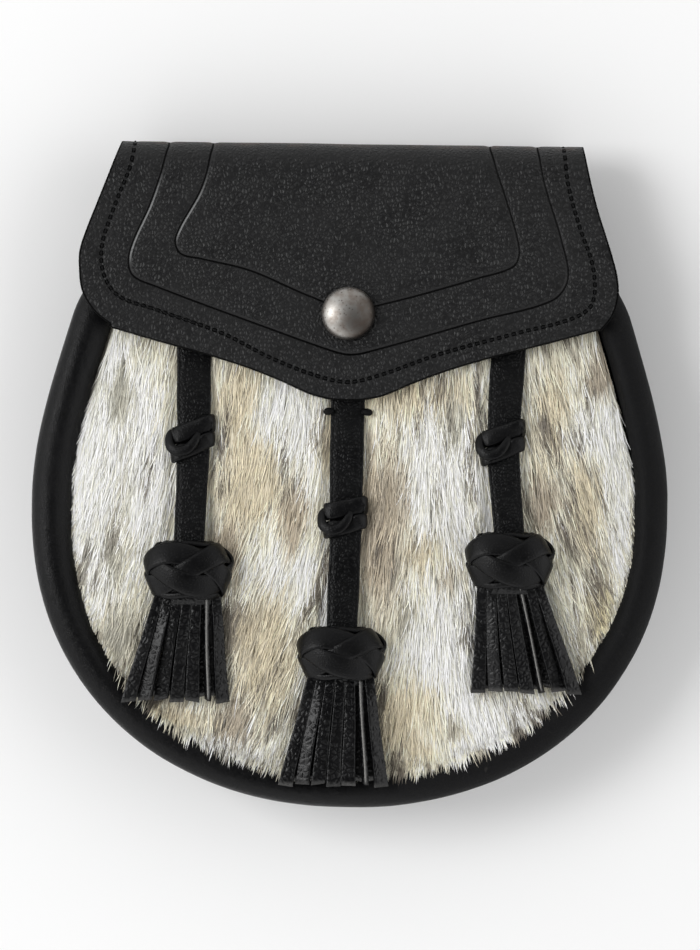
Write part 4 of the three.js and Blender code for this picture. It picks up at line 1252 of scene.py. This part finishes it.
def head_core(tassel):
    def place(around, along):
        share = 0.96 * (2 * along - 1)
        there, _ = barrel(tassel, 2 * math.pi * (around % 1), share)
        there[:, 0] = tassel["head"][0] + (there[:, 0] - tassel["head"][0]) * 0.98
        return there

    return rolled(48, 16, place)


def head_roll(tassel, share, thick):
    """A thin roll of lace round the head."""
    angle = np.linspace(0, 2 * math.pi, 90, endpoint=False)
    place, outward = barrel(tassel, angle, np.full(90, share) + 0.03 * np.sin(5 * angle))
    return laced(place + outward * 0.3, outward, thick, 0.8 * thick, True, 12)


for name, tassel in TASSELS.items():
    parts = [head_core(tassel), plaited_band(tassel)]
    parts += [head_roll(tassel, -0.9, 1.0), head_roll(tassel, 0.88, 0.8)]
    head = gathered(parts)
    made(f"tassel_head_{name}_plait", head, lace_leather, "lace_leather", [f"tassel_head_{name}"])


# Tassel skirts: each is a piece of grained leather cut into strips and rolled into the head.
# The strips fan out in two layers. Their cut edges are pale grey, and one strip stands on its edge.
STRIP_THICK = 1.5
ON_EDGE = {"left": 5, "centre": 5, "right": 4}
MOST_STRIPS = 7
# Strips in the lower and in the upper layer, and the layer's height over the middle of the head.
LAYERS = ((6, -0.6), (MOST_STRIPS, 1.3))


def ground_under(x, y, half):
    """The lowest that a strip of this half width may lie, over the hair and over the rim."""
    across, back = np.meshgrid((-half, 0, half), (0, 4))
    over_rim = float(np.max(rim_top(x + across, y + back)))
    return max(float(hide_face(np.array(x), np.array(y))) + 1.1, over_rim + 0.6)


def strip_mesh(start, end, root_half, tip_half, turn, bend, turned_from, luck):
    """One cut strip. turn twists it from a share of its length on, and bend bows it out."""
    slant = luck.uniform(-0.4, 0.4)

    def place(around, along):
        down = 1 - along
        half = root_half + (tip_half - root_half) * down
        across, up = squared(around, 7)
        twist = turn * smooth(down, turned_from, turned_from + 0.35)
        middle = start + (end - start) * down[:, None]
        middle[:, 2] += bend * np.sin(math.pi * down) + 0.1 * np.sin(9 * down + turn * 7)
        middle[:, 0] += 0.25 * np.sin(5 * down + bend * 9) * down
        wide, high = across * half, up * STRIP_THICK / 2
        x = middle[:, 0] + wide * np.cos(twist) - high * np.sin(twist)
        z = middle[:, 2] + STRIP_THICK / 2 + wide * np.sin(twist) + high * np.cos(twist)
        return np.column_stack([x, middle[:, 1] + slant * across * (down > 0.999), z])

    return rolled(20, 22, place)


def skirt_meshes(name, tassel):
    """Strips of the skirt, each with how pale its cut edges are."""
    luck = np.random.default_rng(sum(map(ord, name)))
    head_x, head_y = tassel["head"]
    end_x, end_y = tassel["end"]
    root_y = head_y - tassel["head_half"][1] + 2
    middle = head_hole_floor(tassel) + HOLE_HALF_HEIGHT
    reach = HOLE_HALF_WIDTH + 1.2
    strips = []
    for count, over in LAYERS:
        for number in range(count):
            share = 2 * number / (count - 1) - 1
            spread = count / MOST_STRIPS
            bulge = 1 - share * share
            root_half, tip_half = reach / count, tassel["end_half"] / MOST_STRIPS
            tip_x = end_x + share * (tassel["end_half"] - tip_half) * spread
            tip_y = end_y + (1.3 if over < 0 else 0.5 * (1 - bulge) * (number % 2)) + 0.3 * (number % 3)
            tip_z = ground_under(tip_x, tip_y, tip_half) + (2.3 + 1.4 * bulge if over > 0 else 0.1)
            start = np.array([
                head_x + share * (reach - root_half) * spread, root_y,
                middle + over * (0.45 + 0.55 * bulge) - STRIP_THICK / 2,
            ])
            on_edge = over > 0 and number == ON_EDGE[name]
            turn = 0.14 * ((number * 5) % 3 - 1) + luck.uniform(-0.06, 0.06) - 0.25 * share * (over > 0)
            if on_edge:
                turn, tip_half, root_half = 0.9, tip_half * 0.4, root_half * 0.5
            end = np.array([tip_x, tip_y, tip_z])
            turned_from = -0.4 if on_edge else 0.0
            bend = luck.uniform(-0.1, 0.5)
            mesh = strip_mesh(start, end, root_half * 1.02, tip_half * 0.93, turn, bend, turned_from, luck)
            strips.append((mesh, 1.0 if on_edge else luck.uniform(0.1, 0.45)))
    return strips


def skirt_root(tassel):
    """The rolled top of the skirt, inside the head."""
    head_x, head_y = tassel["head"]
    middle = head_hole_floor(tassel) + HOLE_HALF_HEIGHT
    low, high = head_y - tassel["head_half"][1] - 2, head_y - 0.4

    def place(around, along):
        angle = 2 * math.pi * (around % 1)
        x = head_x + (HOLE_HALF_WIDTH - 0.9) * np.cos(angle)
        z = middle + (HOLE_HALF_HEIGHT - 0.5) * np.sin(angle)
        return np.column_stack([x, low + (high - low) * along, z])

    return rolled(24, 4, place)


def skirt_finish():
    finish = leather("tassel_leather", dye(12, 12, 13), dye(3, 3, 4), 0.32, 1.5, 0.13, gloss=0.27)
    fibres = finish.cloud(finish.place(), 0.35, 3.0)
    raw = finish.mixed(dye(84, 84, 83), dye(168, 166, 162), fibres)
    finish.set("Base Color", finish.mixed(finish.tone(), raw, finish.attribute("cut_edge")))
    return finish


tassel_leather = skirt_finish()
for name, tassel in TASSELS.items():
    strips = skirt_meshes(name, tassel)
    for mesh, pale in strips:
        cut_edge = mesh.verts.layers.float.new("cut_edge")
        mesh.normal_update()
        for end_face in [face for face in mesh.faces if len(face.verts) > 4]:
            for vert in end_face.verts:
                vert[cut_edge] = 0.5 * pale
        if pale == 1.0:
            for vert in mesh.verts:
                vert[cut_edge] = float(smooth(vert.normal.z, 0.75, 0.95))
    skirt = gathered([mesh for mesh, _ in strips] + [skirt_root(tassel)])
    made(f"tassel_skirt_{name}_strips", skirt, tassel_leather, "tassel_leather", [f"tassel_skirt_{name}"])


# Belt loops: two wide strips of the back's leather, 1.8 mm thick, that a belt passes through.
# They are sewn down on the back at both ends and stand off it between them.
LOOP_X = 36
LOOP_HALF_WIDTH = 11
LOOP_THICK = 1.8
LOOP_FROM = 4
LOOP_LONG = 64


def loop_place(middle):
    def place(around, along):
        y = LOOP_FROM + LOOP_LONG * along
        lifted = 1 - smooth(y, 13, 21) + smooth(y, 51, 59)
        across, up = squared(around, 8)
        z = lifted * (back_face(y) - GAP - LOOP_THICK) + LOOP_THICK * (0.5 + 0.5 * up)
        return np.column_stack([middle + across * LOOP_HALF_WIDTH, y, z])

    return place


for name, middle in (("left", -LOOP_X), ("right", LOOP_X)):
    loop = rolled(36, LOOP_LONG, loop_place(middle))
    made(f"belt_loop_{name}_leather", loop, back_leather, "black_leather", [f"belt_loop_{name}"])
    rows = []
    for low, high in ((5.6, 11.6), (60.4, 66.4)):
        for level in (low, high):
            rows += [((middle + x, level), (1, 0)) for x in np.arange(-8.4, 8.5, 2.8)]
        rows += [((middle + side * 9.4, y), (0, 1)) for side in (-1, 1) for y in (low + 1.5, low + 4.5)]
    at = np.array([place for place, _ in rows], float)
    along = np.array([(*way, 0) for _, way in rows], float)
    at = np.column_stack([at, back_face(at[:, 1]) - GAP - LOOP_THICK + 0.05])
    sewn(f"belt_loop_{name}_stitches", at, along, (0, 0, -1), length=2.0, thick=0.6)
